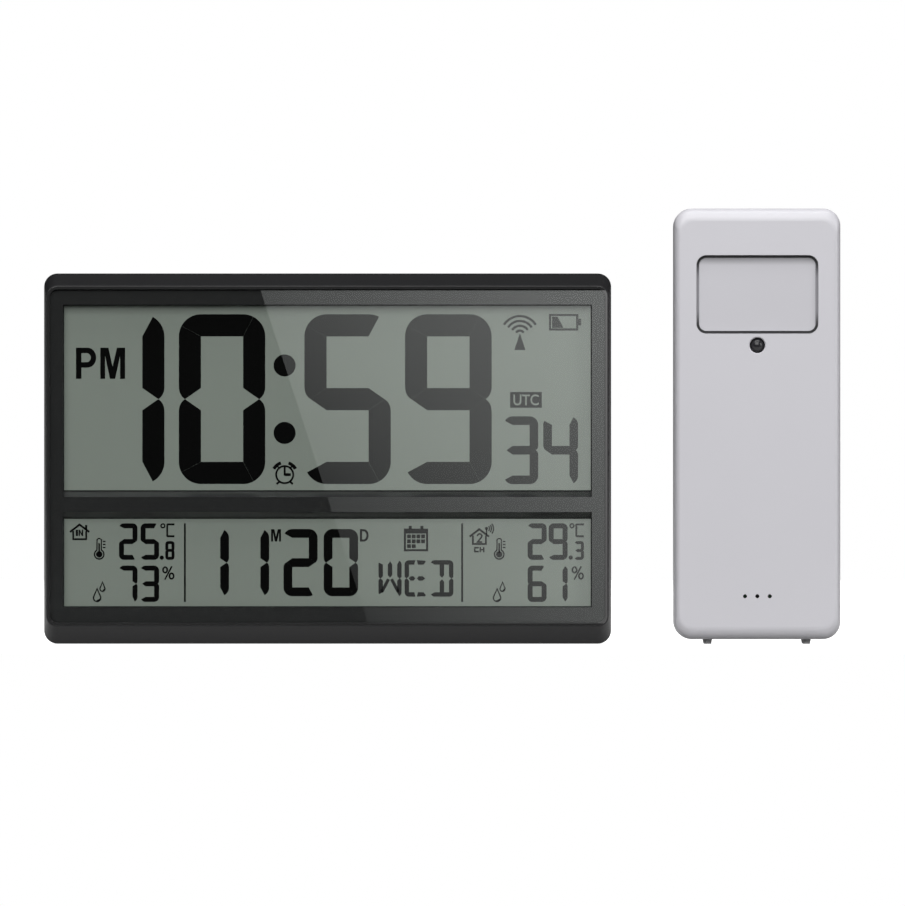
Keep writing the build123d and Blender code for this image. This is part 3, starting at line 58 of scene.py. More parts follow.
# Points of a mesh closer than this are one point.
MERGE = 0.001 * MM
DISPLAY_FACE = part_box("lcd_front_polariser")[0].y
CLOCK_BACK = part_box("clock_rear_case")[1].y
CASE_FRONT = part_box("clock_front_case")[0].y
WINDOW_LOW, WINDOW_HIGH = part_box("clock_window")
LENS_LOW, LENS_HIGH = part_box("sensor_window")
# Reach of the painted shade under the upper edge of the sensor's window.
LENS_PAINTED_SHADE = 2.4 * MM
# Width of the lip round the clock's window.
LIP = 1.0 * MM
# How far from a face a place still counts as on it, roughly and for what lies flat in it.
SKIN = 0.02 * MM
FLAT = 0.002 * MM


def face_box(margin, front, back):
    """A box round the window, larger by a margin, between two depths."""
    return ((WINDOW_LOW.x - margin, front, WINDOW_LOW.z - margin),
            (WINDOW_HIGH.x + margin, back, WINDOW_HIGH.z + margin))


# The polished parts of the clock's face, with how far each is polished: the lip's flat front, the mask's front
# behind the window, and the walls of the mask's openings.
POLISHED = ((face_box(LIP, CASE_FRONT - FLAT, CASE_FRONT + FLAT), 1.0),
            (face_box(SKIN, WINDOW_HIGH.y - FLAT, WINDOW_HIGH.y + FLAT), 1.0),
            (face_box(SKIN, WINDOW_HIGH.y + FLAT, DISPLAY_FACE), 0.4))

# The picture's middle, in the artwork's grid units and in metres on the clock.
GRID_MIDDLE = (452.5, 453.0)
PICTURE_MIDDLE = (37.44 * MM, 57.17 * MM)
PICTURE_WIDTH = 270.87 * MM
CAMERA_SENSOR = 36.0


def linear(code):
    """An sRGB hex colour as linear red, green and blue."""
    parts = [int(code[i:i + 2], 16) / 255 for i in (0, 2, 4)]
    return tuple(p / 12.92 if p <= 0.04045 else ((p + 0.055) / 1.055) ** 2.4 for p in parts)


def tone(colour, share):
    """A colour made lighter or darker by a share of itself, with its alpha."""
    return (*[min(1.0, part * (1 + share)) for part in colour[:3]], 1.0)


class CaseSettings(PropertyGroup):
    """Colours and grain of the moulded cases."""

    black: FloatVectorProperty(
        name="Clock case", description="Colour of the clock's black ABS", subtype="COLOR",
        min=0, max=1, default=linear("1e1e1f"))
    silver: FloatVectorProperty(
        name="Sensor case", description="Colour of the sensor's pale grey ABS", subtype="COLOR",
        min=0, max=1, default=linear("bbbabf"))
    button: FloatVectorProperty(
        name="Buttons", description="Colour of the push buttons", subtype="COLOR",
        min=0, max=1, default=linear("56585a"))
    lens: FloatVectorProperty(
        name="Sensor window", description="Colour of the sensor's milky window", subtype="COLOR",
        min=0, max=1, default=linear("b4b3b8"))
    grain: FloatProperty(
        name="Grain", description="Size of the moulded grain", unit="LENGTH", default=0.45 * MM)


class DisplaySettings(PropertyGroup):
    """Colours and sizes of the liquid crystal display."""

    film: FloatVectorProperty(
        name="Film", description="Colour of the display where nothing is lit", subtype="COLOR",
        min=0, max=1, default=linear("757b74"))
    ink: FloatVectorProperty(
        name="Segments", description="Colour of a switched segment", subtype="COLOR",
        min=0, max=1, default=linear("060606"))
    grid: FloatProperty(
        name="Grid unit", description="Length of one unit of the artwork's grid", unit="LENGTH",
        precision=6, default=0.2996 * MM)
    thickness: FloatProperty(
        name="Segment thickness", description="How far a segment stands off the film", unit="LENGTH",
        precision=6, default=0.03 * MM)
    gap: FloatProperty(
        name="Segment gap", description="Hairline round each segment, as a share of its stroke", default=0.0022)


class CellSettings(PropertyGroup):
    """Sizes and colours of the cells and their springs."""

    radius: FloatProperty(
        name="Cell radius", description="Radius over the jacket", unit="LENGTH", default=7.25 * MM)
    length: FloatProperty(
        name="Cell length", description="Length of the can without its nub", unit="LENGTH",
        default=49.2 * MM)
    nub_radius: FloatProperty(
        name="Nub radius", description="Radius of the positive nub", unit="LENGTH", default=2.75 * MM)
    nub_length: FloatProperty(
        name="Nub length", description="Length of the positive nub", unit="LENGTH", default=1.3 * MM)
    jacket: FloatVectorProperty(
        name="Jacket", description="Colour of the cell's plastic jacket", subtype="COLOR",
        min=0, max=1, default=linear("23262b"))
    band: FloatVectorProperty(
        name="Jacket band", description="Colour of the band at the positive end", subtype="COLOR",
        min=0, max=1, default=linear("b3702f"))
    wire: FloatProperty(
        name="Spring wire", description="Radius of the spring wire", unit="LENGTH", default=0.32 * MM)
    turns: IntProperty(name="Spring turns", description="Turns of a contact spring", default=5)


class StageSettings(PropertyGroup):
    """Camera distance and light of the studio."""

    distance: FloatProperty(
        name="Camera distance", description="From the lens to the clock's front", unit="LENGTH",
        default=4.0)
    key: FloatProperty(
        name="Key light", description="Power of the large soft light", unit="POWER", default=30.0)
    fill: FloatProperty(
        name="Front fill", description="Power of the low light over the lens", unit="POWER", default=9.0)
    side: FloatProperty(
        name="Side fill", description="Power of the light from the right", unit="POWER", default=10.0)
    top: FloatProperty(
        name="Top light", description="Power of the strip overhead", unit="POWER", default=4.0)
    glare: FloatProperty(
        name="Window glare", description="Brightness of the card mirrored in the window", default=1.15)
    floor: FloatProperty(
        name="Floor glow", description="Light that the floor gives by itself", default=0.92)


def alone(piece=None):
    """Object mode with one object selected, or with none."""
    if bpy.context.object and bpy.context.object.mode != "OBJECT":
        bpy.ops.object.mode_set(mode="OBJECT")
    bpy.ops.object.select_all(action="DESELECT")
    if piece:
        piece.select_set(True)
        bpy.context.view_layer.objects.active = piece


def apply_place():
    """Put the place, turn and scale of what is selected into its mesh."""
    bpy.ops.object.transform_apply(location=True, rotation=True, scale=True)


def extrude(*move):
    """Extrude the selected faces by a move."""
    bpy.ops.mesh.extrude_region_move(TRANSFORM_OT_translate={"value": move})


def choose(piece, mode, test):
    """Edit mode with those faces, edges or vertices selected whose place passes the test."""
    alone(piece)
    bpy.ops.object.mode_set(mode="EDIT")
    bpy.ops.mesh.select_mode(type=mode)
    bpy.ops.mesh.select_all(action="DESELECT")
    bpy.ops.object.mode_set(mode="OBJECT")
    mesh = piece.data
    for vertex in mesh.vertices:
        vertex.select = mode == "VERT" and test(vertex.co, vertex.normal)
    for edge in mesh.edges:
        ends = [mesh.vertices[i].co for i in edge.vertices]
        edge.select = mode == "EDGE" and all(test(end, None) for end in ends)
    for face in mesh.polygons:
        face.select = mode == "FACE" and test(face.center, face.normal)
    bpy.ops.object.mode_set(mode="EDIT")


def tidy_mesh(piece, distance):
    """Merge a mesh's doubles and turn its faces outwards."""
    alone(piece)
    bpy.ops.object.mode_set(mode="EDIT")
    bpy.ops.mesh.select_all(action="SELECT")
    bpy.ops.mesh.remove_doubles(threshold=distance)
    bpy.ops.mesh.normals_make_consistent(inside=False)
    bpy.ops.object.mode_set(mode="OBJECT")


def joined(pieces):
    """Several objects joined into the first."""
    alone(pieces[0])
    for piece in pieces[1:]:
        piece.select_set(True)
    if len(pieces) > 1:
        bpy.ops.object.join()
    return bpy.context.object


def settle(piece, name, body, material=None, nodes=()):
    """Name a finished piece, put its place into its mesh and tie it to the frame."""
    alone(piece)
    apply_place()
    piece.name = piece.data.name = name
    if material:
        piece.data.materials.clear()
        piece.data.materials.append(material)
    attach(piece, body)
    if nodes:
        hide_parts(*nodes)
    return piece


def fit(tree, node, settings=None, links=None):
    """Give a node its settings and links.

    A key is an input's name or number, or else a property. A link is a socket, or a node, which stands for its
    first output in use."""
    for key, value in (settings or {}).items():
        if isinstance(key, int) or key in node.inputs:
            node.inputs[key].default_value = value
        else:
            setattr(node, key, value)
    for key, source in (links or {}).items():
        if isinstance(source, bpy.types.Node):
            source = next(socket for socket in source.outputs if socket.enabled)
        tree.links.new(source, node.inputs[key])
    return node


def add(tree, kind, settings=None, links=None):
    """Add a shader node of a kind, with its settings and links."""
    return fit(tree, tree.nodes.new(f"ShaderNode{kind}"), settings, links)


def opened(material):
    """A material's tree, its Principled shader and its Object coordinates."""
    tree = material.node_tree
    return tree, tree.nodes["Principled BSDF"], tree.nodes["Texture Coordinate"].outputs["Object"]


def begin(name):
    """A new material with what it opens to."""
    material = bpy.data.materials.new(name)
    material.use_nodes = True
    add(material.node_tree, "TexCoord")
    return material, *opened(material)


# How strongly a moulded grain bends the light, and what a polished face keeps of the grained one's colour.
GRAIN_STRENGTH = 0.5
POLISHED_TINT = (0.3, 0.3, 0.3, 1.0)
# The sharp second reflection of a polished face.
MIRROR = {"Coat Roughness": 0.0, "Coat IOR": 2.13}


def moulded(name, colour, grain, relief, rough, mottle=0.10, shine_level=0.5, patch=22 * MM):
    """A moulded finish: cloudy colour over some centimetres, a fine grain in the relief and the gloss."""
    material, tree, shader, place = begin(name)
    cloud = add(tree, "TexNoise", {"Scale": 1 / patch, "Detail": 3.0}, {"Vector": place})
    fine = add(tree, "TexNoise", {"Scale": 1 / grain, "Detail": 2.0}, {"Vector": place})
    hue = add(tree, "Mix", {"data_type": "RGBA", 6: tone(colour, -mottle), 7: tone(colour, mottle)}, {0: cloud})
    shine = add(tree, "MapRange", {
        "From Min": 0.3, "From Max": 0.7, "To Min": rough - 0.05, "To Max": rough + 0.05}, {"Value": fine})
    bump = add(tree, "Bump", {"Strength": GRAIN_STRENGTH, "Distance": relief}, {"Height": fine})
    fit(tree, shader, {"Specular IOR Level": shine_level}, {"Base Color": hue, "Roughness": shine, "Normal": bump})
    return material


def with_painted_band(material, height, full, end, colour):
    """A finish with a level band of another colour, for painted shade and painted light: its height, how far it is
    full and where it ends.
    """
    tree, shader, place = opened(material)
    hue = shader.inputs["Base Color"].links[0].from_socket
    parts = add(tree, "SeparateXYZ", None, {"Vector": place})
    above = add(tree, "Math", {"operation": "SUBTRACT", 1: height}, {0: parts.outputs["Z"]})
    away = add(tree, "Math", {"operation": "ABSOLUTE"}, {0: above})
    near = add(tree, "MapRange", {
        "interpolation_type": "SMOOTHSTEP", "From Min": full, "From Max": end, "To Min": 1.0, "To Max": 0.0},
        {"Value": away})
    mixed = add(tree, "Mix", {"data_type": "RGBA", 7: tone(colour, 0)}, {0: near, 6: hue})
    fit(tree, shader, None, {"Base Color": mixed})
    return material


def combined(tree, operation, values):
    """Several values drawn together by one operation."""
    total = values[0]
    for value in values[1:]:
        total = add(tree, "Math", {"operation": operation}, {0: total, 1: value})
    return total


def polished(material, boxes):
    """A finish that is polished inside boxes, as far as each says: smooth, deeper in colour and mirroring."""
    tree, shader, place = opened(material)
    hue = shader.inputs["Base Color"].links[0].from_socket
    bump = shader.inputs["Normal"].links[0].from_node
    parts = add(tree, "SeparateXYZ", None, {"Vector": place})
    shares = []
    for box, weight in boxes:
        inside = [add(tree, "Math", {"operation": "COMPARE", 1: (low + high) / 2, 2: (high - low) / 2},
                      {0: parts.outputs[axis]}) for axis, low, high in zip("XYZ", *box)]
        shares.append(add(tree, "Math", {"operation": "MULTIPLY", 1: weight},
                          {0: combined(tree, "MULTIPLY", inside)}))
    share = combined(tree, "MAXIMUM", shares)
    relief = add(tree, "MapRange", {"To Min": GRAIN_STRENGTH, "To Max": 0.0}, {"Value": share})
    deeper = add(tree, "Mix", {"data_type": "RGBA", "blend_type": "MULTIPLY", 7: POLISHED_TINT},
                 {0: share, 6: hue})
    fit(tree, bump, None, {"Strength": relief})
    fit(tree, shader, MIRROR, {"Base Color": deeper, "Coat Weight": share})
    return material


def mirrored(material):
    """A finish that mirrors the studio all over."""
    tree, shader, place = opened(material)
    fit(tree, shader, {"Coat Weight": 1.0, **MIRROR})
    return material


def drawn_metal(name, colour, grain, rough, streak=(1.0, 1.0, 1.0)):
    """A rolled or plated metal: fine streaks in the gloss and faint clouds of tarnish in the colour."""
    material, tree, shader, place = begin(name)
    turned = add(tree, "Mapping", {"Scale": streak}, {"Vector": place})
    lines = add(tree, "TexNoise", {"Scale": 1 / grain, "Detail": 4.0}, {"Vector": turned})
    cloud = add(tree, "TexNoise", {"Scale": 1 / (6 * MM), "Detail": 2.0}, {"Vector": place})
    hue = add(tree, "Mix", {"data_type": "RGBA", 6: tone(colour, -0.18), 7: tone(colour, 0.06)}, {0: cloud})
    shine = add(tree, "MapRange", {"To Min": rough - 0.10, "To Max": rough + 0.12}, {"Value": lines})
    bump = add(tree, "Bump", {"Strength": 0.3, "Distance": 0.01 * MM}, {"Height": lines})
    fit(tree, shader, {"Metallic": 1.0}, {"Base Color": hue, "Roughness": shine, "Normal": bump})
    return material


def banded(name, dark, light, pitch, rough, metallic):
    """Even bands from left to right: turns of wire, or the layers of a contact strip."""
    material, tree, shader, place = begin(name)
    wave = add(tree, "TexWave", {
        "wave_type": "BANDS", "bands_direction": "X", "Scale": math.pi / (10 * pitch), "Distortion": 0.3,
        "Detail": 1.0}, {"Vector": place}).outputs["Fac"]
    hue = add(tree, "Mix", {"data_type": "RGBA", 6: tone(dark, 0), 7: tone(light, 0)}, {0: wave})
    bump = add(tree, "Bump", {"Strength": 0.6, "Distance": 0.05 * MM}, {"Height": wave})
    fit(tree, shader, {"Roughness": rough, "Metallic": metallic}, {"Base Color": hue, "Normal": bump})
    return material


def clear_acrylic():
    """Cast acrylic sheet, polished: the display shows through it, and its outer faces add a faint mirror image.

    The strong mirror image comes from the polished faces behind it."""
    material, tree, shader, place = begin("acrylic_clear_polished")
    wave = add(tree, "TexNoise", {"Scale": 1 / (35 * MM), "Detail": 1.0}, {"Vector": place})
    bump = add(tree, "Bump", {"Strength": 0.04, "Distance": 0.02 * MM}, {"Height": wave})
    edge = add(tree, "Fresnel", {"IOR": 1.15})
    clear = add(tree, "BsdfTransparent", {"Color": (0.97, 0.98, 0.975, 1.0)})
    gloss = add(tree, "BsdfGlossy", {"Color": (1.0, 1.0, 1.0, 1.0), "Roughness": 0.0}, {"Normal": bump})
    outer = add(tree, "MixShader", None, {0: edge, 1: clear, 2: gloss})
    side = add(tree, "NewGeometry")
    both = add(tree, "MixShader", None, {0: side.outputs["Backfacing"], 1: outer, 2: clear})
    tree.nodes.remove(shader)
    fit(tree, tree.nodes["Material Output"], None, {"Surface": both})
    return material


def polariser_film(colour):
    """Polarising film over a reflector: flat grey green, with a faint cloud and a fine pearly grain."""
    material, tree, shader, place = begin("polariser_film_grey_green")
    cloud = add(tree, "TexNoise", {"Scale": 1 / (45 * MM), "Detail": 2.0}, {"Vector": place})
    pearl = add(tree, "TexNoise", {"Scale": 1 / (0.5 * MM), "Detail": 2.0}, {"Vector": place})
    wide = add(tree, "Mix", {"data_type": "RGBA", 6: tone(colour, -0.05), 7: tone(colour, 0.05)}, {0: cloud})
    hue = add(tree, "Mix", {"data_type": "RGBA", "blend_type": "OVERLAY", 0: 0.05},
              {6: wide, 7: pearl.outputs["Color"]})
    shine = add(tree, "MapRange", {"To Min": 0.48, "To Max": 0.60}, {"Value": pearl})
    fit(tree, shader, {"IOR": 1.48, "Specular IOR Level": 0.25}, {"Base Color": hue, "Roughness": shine})
    return material


def solder_mask():
    """Etched fibreglass board under green lacquer: paler tracks a millimetre wide show through it."""
    material, tree, shader, place = begin("fibreglass_green_lacquer")
    tracks = add(tree, "TexBrick", {
        "Scale": 1 / (9 * MM), "Mortar Size": 0.05, "Color1": tone(linear("1c5a32"), 0),
        "Color2": tone(linear("195230"), 0), "Mortar": tone(linear("3f8450"), 0)}, {"Vector": place})
    weave = add(tree, "TexNoise", {"Scale": 1 / (0.6 * MM), "Detail": 2.0}, {"Vector": place})
    bump = add(tree, "Bump", {"Strength": 0.3, "Distance": 0.02 * MM}, {"Height": weave})
    fit(tree, shader, {"Roughness": 0.35}, {"Base Color": tracks, "Normal": bump})
    return material


def flat_glass():
    """Float glass of the display's two panes: clear with a green edge."""
    material, tree, shader, place = begin("float_glass_green_edge")
    haze = add(tree, "TexNoise", {"Scale": 1 / (12 * MM)}, {"Vector": place})
    shine = add(tree, "MapRange", {"To Min": 0.02, "To Max": 0.08}, {"Value": haze})
    fit(tree, shader, {"Base Color": tone(linear("c9dccd"), 0), "Transmission Weight": 0.85, "IOR": 1.52},
        {"Roughness": shine})
    return material


def smoked_dome():
    """Tinted epoxy of a lamp: near black when off, with a hard small highlight."""
    material, tree, shader, place = begin("epoxy_smoked_lamp")
    depth = add(tree, "TexNoise", {"Scale": 1 / (2 * MM)}, {"Vector": place})
    hue = add(tree, "Mix", {
        "data_type": "RGBA", 6: tone(linear("1c1c1e"), 0), 7: tone(linear("2c2c2f"), 0)}, {0: depth})
    fit(tree, shader, {"Roughness": 0.14, "Specular IOR Level": 0.3}, {"Base Color": hue})
    return material


MADE = {}


def finish(name):
    """The finish of one of the record's material slots, or of something printed or inlaid, made once."""
    if name not in MADE:
        case = bpy.context.scene.clock_case
        display = bpy.context.scene.clock_display
        cell = bpy.context.scene.clock_cell
        grain = case.grain
        lens_height = LENS_HIGH.z - LENS_LOW.z
        makers = {
            # Spark-eroded ABS: deep black with a soft satin sheen that breaks up in the grain. The lip and the
            # mask behind the window come from a polished part of the mould, and mirror the studio.
            "black_abs": lambda: polished(
                moulded("abs_black_satin", case.black, grain, 0.012 * MM, 0.42, 0.08, 0.2), POLISHED),
            # Pale grey ABS, polished mould: even and silky, with hardly any grain.
            "silver_abs": lambda: moulded("abs_pale_grey", case.silver, grain, 0.008 * MM, 0.36, 0.015),
            # Grey ABS buttons: matt from the mould, a little shinier where fingers rub.
            "grey_button_abs": lambda: moulded("abs_grey_matt", case.button, grain, 0.02 * MM, 0.52),
            # White ABS of the display's carrier: plain and matt.
            "white_abs": lambda: moulded("abs_white_matt", linear("dcdcd6"), grain, 0.02 * MM, 0.55, 0.03),
            "clear_acrylic": clear_acrylic,
            "lcd_film": lambda: mirrored(polariser_film(display.film)),
            "lcd_glass": flat_glass,
            # Switched liquid crystal: dense black behind the display's polished face.
            "segment_ink": lambda: mirrored(moulded(
                "liquid_crystal_dark", display.ink, 4 * MM, 0.0005 * MM, 0.62, 0.08, 0.0, 60 * MM)),
            # Black frame inside the mask's openings, matt and without any gloss: painted shade along the openings'
            # edges.
            "edge_shade_frame": lambda: moulded(
                "foam_black_cord", linear("0e0e0e"), 0.4 * MM, 0.03 * MM, 0.9, 0.1, 0.1),
            # Aluminised film: bright, streaked along the roll.
            "lcd_reflector_foil": lambda: drawn_metal(
                "aluminised_film", linear("cfd2d0"), 0.8 * MM, 0.30, (1, 1, 12)),
            # Zebra strip: dark carbon layers between pale silicone, drawn at 0.4 mm so that they show.
            "zebra_rubber": lambda: banded(
                "silicone_zebra", linear("1d1d1d"), linear("c9b7b0"), 0.4 * MM, 0.6, 0.0),
            "circuit_board": solder_mask,
            # Zinc plate on steel: bluish white, slightly cloudy.
            "zinc_screw": lambda: drawn_metal("steel_zinc_plate", linear("b9bdc2"), 0.5 * MM, 0.32),
            # Drop of potting epoxy: black, flowed, shiny.
            "black_epoxy": lambda: moulded("epoxy_black_drop", linear("121212"), 1 * MM, 0.01 * MM, 0.18),
            # Tinned and drawn cans of crystals and capacitors.
            "component_metal": lambda: drawn_metal("tinned_can", linear("c4c5c4"), 0.4 * MM, 0.28),
            # Filled nylon of the small switches: dark and dry.
            "switch_plastic": lambda: moulded("nylon_dark", linear("2a2b2c"), 0.3 * MM, 0.01 * MM, 0.58),
            # Shrunk plastic jacket of a cell: dark, glossy, with a slight ripple.
            "cell_jacket": lambda: moulded("shrunk_jacket_dark", cell.jacket, 3 * MM, 0.02 * MM, 0.24),
            # Metallic ink on the jacket: copper coloured, softly clouded.
            "band_print": lambda: drawn_metal("printed_copper_ink", cell.band, 0.7 * MM, 0.34),
            # Nickel plate on spring steel: warm grey and bright.
            "contact_nickel": lambda: drawn_metal("steel_nickel_plate", linear("c9c4b8"), 0.3 * MM, 0.24),
            # Stamped brass of the buzzer's plate: warm yellow, slightly tarnished.
            "buzzer_brass": lambda: drawn_metal("brass_stamped", linear("c8a24f"), 0.5 * MM, 0.30),
            # Sintered ferrite: charcoal with a dull gloss.
            "ferrite": lambda: moulded("ferrite_sintered", linear("2b2b2d"), 0.4 * MM, 0.02 * MM, 0.45),
            # Enamelled wire, wound: turns drawn at 0.5 mm so that they show.
            "copper_winding": lambda: banded(
                "enamelled_copper", linear("5e2c12"), linear("c9763c"), 0.5 * MM, 0.3, 0.9),
            # Milky polycarbonate: pale, soft, with a low gloss, and a painted shade where it goes in under the
            # upper edge.
            "milky_lens": lambda: with_painted_band(
                moulded("polycarbonate_milky", case.lens, grain, 0.004 * MM, 0.40, 0.015),
                LENS_HIGH.z, 0.0, LENS_PAINTED_SHADE, tone(case.lens, -0.5)),
            # Silicone gasket: near black and matt, with painted light in a paler grey along its upright sides,
            # where the groove catches the lamps.
            "dark_gasket": lambda: with_painted_band(
                moulded("silicone_dark", linear("1c1c1e"), 0.4 * MM, 0.02 * MM, 0.60),
                (LENS_LOW.z + LENS_HIGH.z) / 2, 0.2 * lens_height, 0.45 * lens_height, linear("807f84")),
            "smoked_lamp": smoked_dome,
            # Rubber feet: mid grey, dry, a little dusty.
            "foot_rubber": lambda: moulded("rubber_grey", linear("8b8b8c"), 0.5 * MM, 0.03 * MM, 0.75),
            # Pad printing ink: pale grey and matt, thin enough to show the case's grain at its edges.
            "pad_print": lambda: moulded("pad_print_pale_grey", linear("b9bbbc"), 0.3 * MM, 0.01 * MM, 0.6),
        }
        MADE[name] = makers[name]()
    return MADE[name]


def dress(*nodes):
    """Give CAD nodes the finish of the slots they already name."""
    for node in nodes:
        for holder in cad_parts[node].material_slots:
            holder.material = finish(holder.material.name)


def oval(x, y, wide, high, start, end, count):
    """Points along an oval, in degrees turned left from the right, on a grid that runs down."""
    angles = [math.radians(start + (end - start) * i / count) for i in range(count + 1)]
    return [(x + wide * math.cos(a), y - high * math.sin(a)) for a in angles]


def arc(x, y, radius, start, end, count=14):
    """Points along part of a circle."""
    return oval(x, y, radius, radius, start, end, count)


def circle(x, y, radius, count=40):
    """Points round a circle."""
    return arc(x, y, radius, 0, 360, count)[:-1]


def bow(x, y, wide, high):
    """The right half of an oval, from its top to its bottom."""
    return oval(x, y, wide, high, 90, -90, 16)


def across(start, end):
    """The direction square to a line, one unit long."""
    dx, dy = end[0] - start[0], end[1] - start[1]
    size = math.hypot(dx, dy)
    return -dy / size, dx / size


def ribbon(points, width):
    """Outline of a line of that width with square corners and flat ends."""
    left, right = [], []
    for i, (x, y) in enumerate(points):
        runs = [across(*pair) for pair in (points[i - 1:i + 1], points[i:i + 2]) if len(pair) == 2]
        nx = sum(run[0] for run in runs) / len(runs)
        ny = sum(run[1] for run in runs) / len(runs)
        reach = width / 2 / (nx * nx + ny * ny)
        left.append((x + nx * reach, y + ny * reach))
        right.append((x - nx * reach, y - ny * reach))
    return left + right[::-1]


def box_outline(left, top, right, bottom):
    """Outline of a box."""
    return [(left, top), (right, top), (right, bottom), (left, bottom)]


def frame_outlines(left, top, right, bottom, width):
    """A box and the smaller box inside it, which the fill leaves open."""
    return [box_outline(left, top, right, bottom),
            box_outline(left + width, top + width, right - width, bottom - width)]


def ring_outlines(x, y, radius, width):
    """A ring as two circles."""
    return [circle(x, y, radius), circle(x, y, radius - width)]


def drop_outlines(x, y, radius, apex, wall):
    """An open drop: round below, drawn to a point above."""
    def drop(r, top):
        return arc(x, y, r, 150, 390, 26) + [(x, top)]
    return [drop(radius, apex), drop(radius - wall, apex + 2.1 * wall)]


# A corner counts as no sharper than this, as one plus the cosine between its sides, when it is drawn in.
SHARPEST = 0.25


def drawn_in(outline, depth):
    """An outline moved inwards by a hairline."""
    count = len(outline)
    area = sum(outline[i - 1][0] * outline[i][1] - outline[i][0] * outline[i - 1][1] for i in range(count))
    side = 1 if area > 0 else -1
    moved = []
    for i, (x, y) in enumerate(outline):
        (ax, ay), (bx, by) = across(outline[i - 1], (x, y)), across((x, y), outline[(i + 1) % count])
        reach = side * depth / max(1 + ax * bx + ay * by, SHARPEST)
        moved.append((x + (ax + bx) * reach, y + (ay + by) * reach))
    return moved


# A digit's waist as shares of its stroke, the power of its curve, and the angle where an upright and a bar meet
# round a corner, with the steps of both curves.
WAIST_TIP = 0.28
WAIST_START = 0.55
WAIST_CURVE = 1.25
WAIST_STEPS = 6
CORNER_SPLIT = 62
CORNER_STEPS = 9
LIT = {"0": "abcdef", "1": "bc", "2": "abged", "3": "abgcd", "4": "fgbc", "5": "afgcd", "6": "afgecd",
       "7": "abc", "8": "abcdefg", "9": "abcdfg"}


def segment_shapes(width, height, stroke, tip_share=WAIST_TIP):
    """The seven segments of a digit, from its lower left corner, right and up."""
    mid, half, tip, begins = height / 2, stroke / 2, stroke * tip_share, stroke * WAIST_START

    def corner(x, y, start, end):
        angles = [math.radians(start + (end - start) * i / CORNER_STEPS) for i in range(CORNER_STEPS + 1)]
        return [(x + stroke * math.cos(a), y + stroke * math.sin(a)) for a in angles]

    def waist(side, inward):
        steps = [i / WAIST_STEPS for i in range(1, WAIST_STEPS + 1)]
        return [(side + inward * tip * t * t, mid + begins * (1 - t) ** WAIST_CURVE) for t in steps]

    high, far = height - stroke, width - stroke
    upright = [(far, high)] + corner(far, high, CORNER_SPLIT, 0) + [(width, mid + begins)]
    upright += waist(width, -1) + [(far, mid + half)]
    shorter = [(stroke, high)] + corner(stroke, high, 90 + CORNER_SPLIT, 180) + [(0, mid + begins)]
    shorter += waist(0, 1) + [(stroke, mid + half)]
    bar = [(stroke, high)] + corner(stroke, high, 90 + CORNER_SPLIT, 90)
    bar += corner(far, high, 90, CORNER_SPLIT) + [(far, high)]
    middle = [(tip, mid), (stroke, mid + half), (far, mid + half),
              (width - tip, mid), (far, mid - half), (stroke, mid - half)]
    shapes = {"a": bar, "b": upright, "f": shorter, "g": middle}
    for upper, lower in (("a", "d"), ("b", "c"), ("f", "e")):
        shapes[lower] = [(x, height - y) for x, y in shapes[upper]]
    return shapes


def number(text, cells, top, bottom, stroke):
    """Outlines of a row of digits, each in its own (left, right) cell of the grid."""
    gap = bpy.context.scene.clock_display.gap * stroke
    outlines = []
    for sign, (left, right) in zip(text, cells):
        shapes = segment_shapes(right - left, bottom - top, stroke)
        for letter in LIT[sign]:
            outline = [(left + x, bottom - y) for x, y in shapes[letter]]
            outlines.append(drawn_in(outline, gap))
    return outlines


def weekday_letter(sign, left, right, top, bottom, stroke):
    """Outlines of one letter of a fourteen-segment cell, in groups that may lie over each other."""
    gap = bpy.context.scene.clock_display.gap * stroke
    width, height = right - left, bottom - top
    shapes = segment_shapes(width, height, stroke, 0.5)
    mid, half, centre, high = height / 2, stroke / 2, width / 2, height - stroke
    clear = stroke * 0.16
    lens = [(centre, height - clear), (centre + half, high), (centre + half, mid + stroke * 0.75),
            (centre, mid + clear), (centre - half, mid + stroke * 0.75), (centre - half, high)]
    stem = [(centre - half, high), (centre + half, high), *lens[2:5]]
    bar = [(stroke * 0.9, mid), (stroke * 1.4, mid + half), (centre - stroke * 0.6, mid + half),
           (centre - clear, mid), (centre - stroke * 0.6, mid - half), (stroke * 1.4, mid - half)]
    reach = width - stroke * 0.55
    after = [(centre + clear, mid), (centre + stroke * 0.6, mid + half), (reach - stroke * 0.6, mid + half),
             (reach, mid), (reach - stroke * 0.6, mid - half), (centre + stroke * 0.6, mid - half)]
    slope = ribbon([(centre - half * 0.7, mid - clear), (stroke * 0.75, stroke * 1.05)], stroke * 0.72)
    cut = [(x, y) for x, y in shapes["a"] if x < centre]
    near = [(stroke, high), *sorted((p for p in cut if p != (stroke, high)), key=lambda p: p[0]),
            (centre - clear, height), (centre - clear * 2.6, high)]
    far = [(centre + clear, height), (width - stroke * 0.62, height - stroke * 0.08),
           (width - stroke * 0.4, height - half * 0.7), (width - stroke * 0.95, high),
           (centre + clear * 2.6, high)]
    parts = {**shapes, "g": bar, "h": after, "i": lens, "k": slope,
             "l": [(width - x, y) for x, y in slope], "m": near, "n": far, "s": stem}
    for upper, lower in (("m", "o"), ("n", "p"), ("s", "t")):
        parts[lower] = [(x, height - y) for x, y in parts[upper]]
    lit = {"W": "febcikl", "E": "femnopgh", "D": "adbcst"}[sign]
    return [[drawn_in([(left + x, bottom - y) for x, y in parts[key]], gap)] for key in lit]


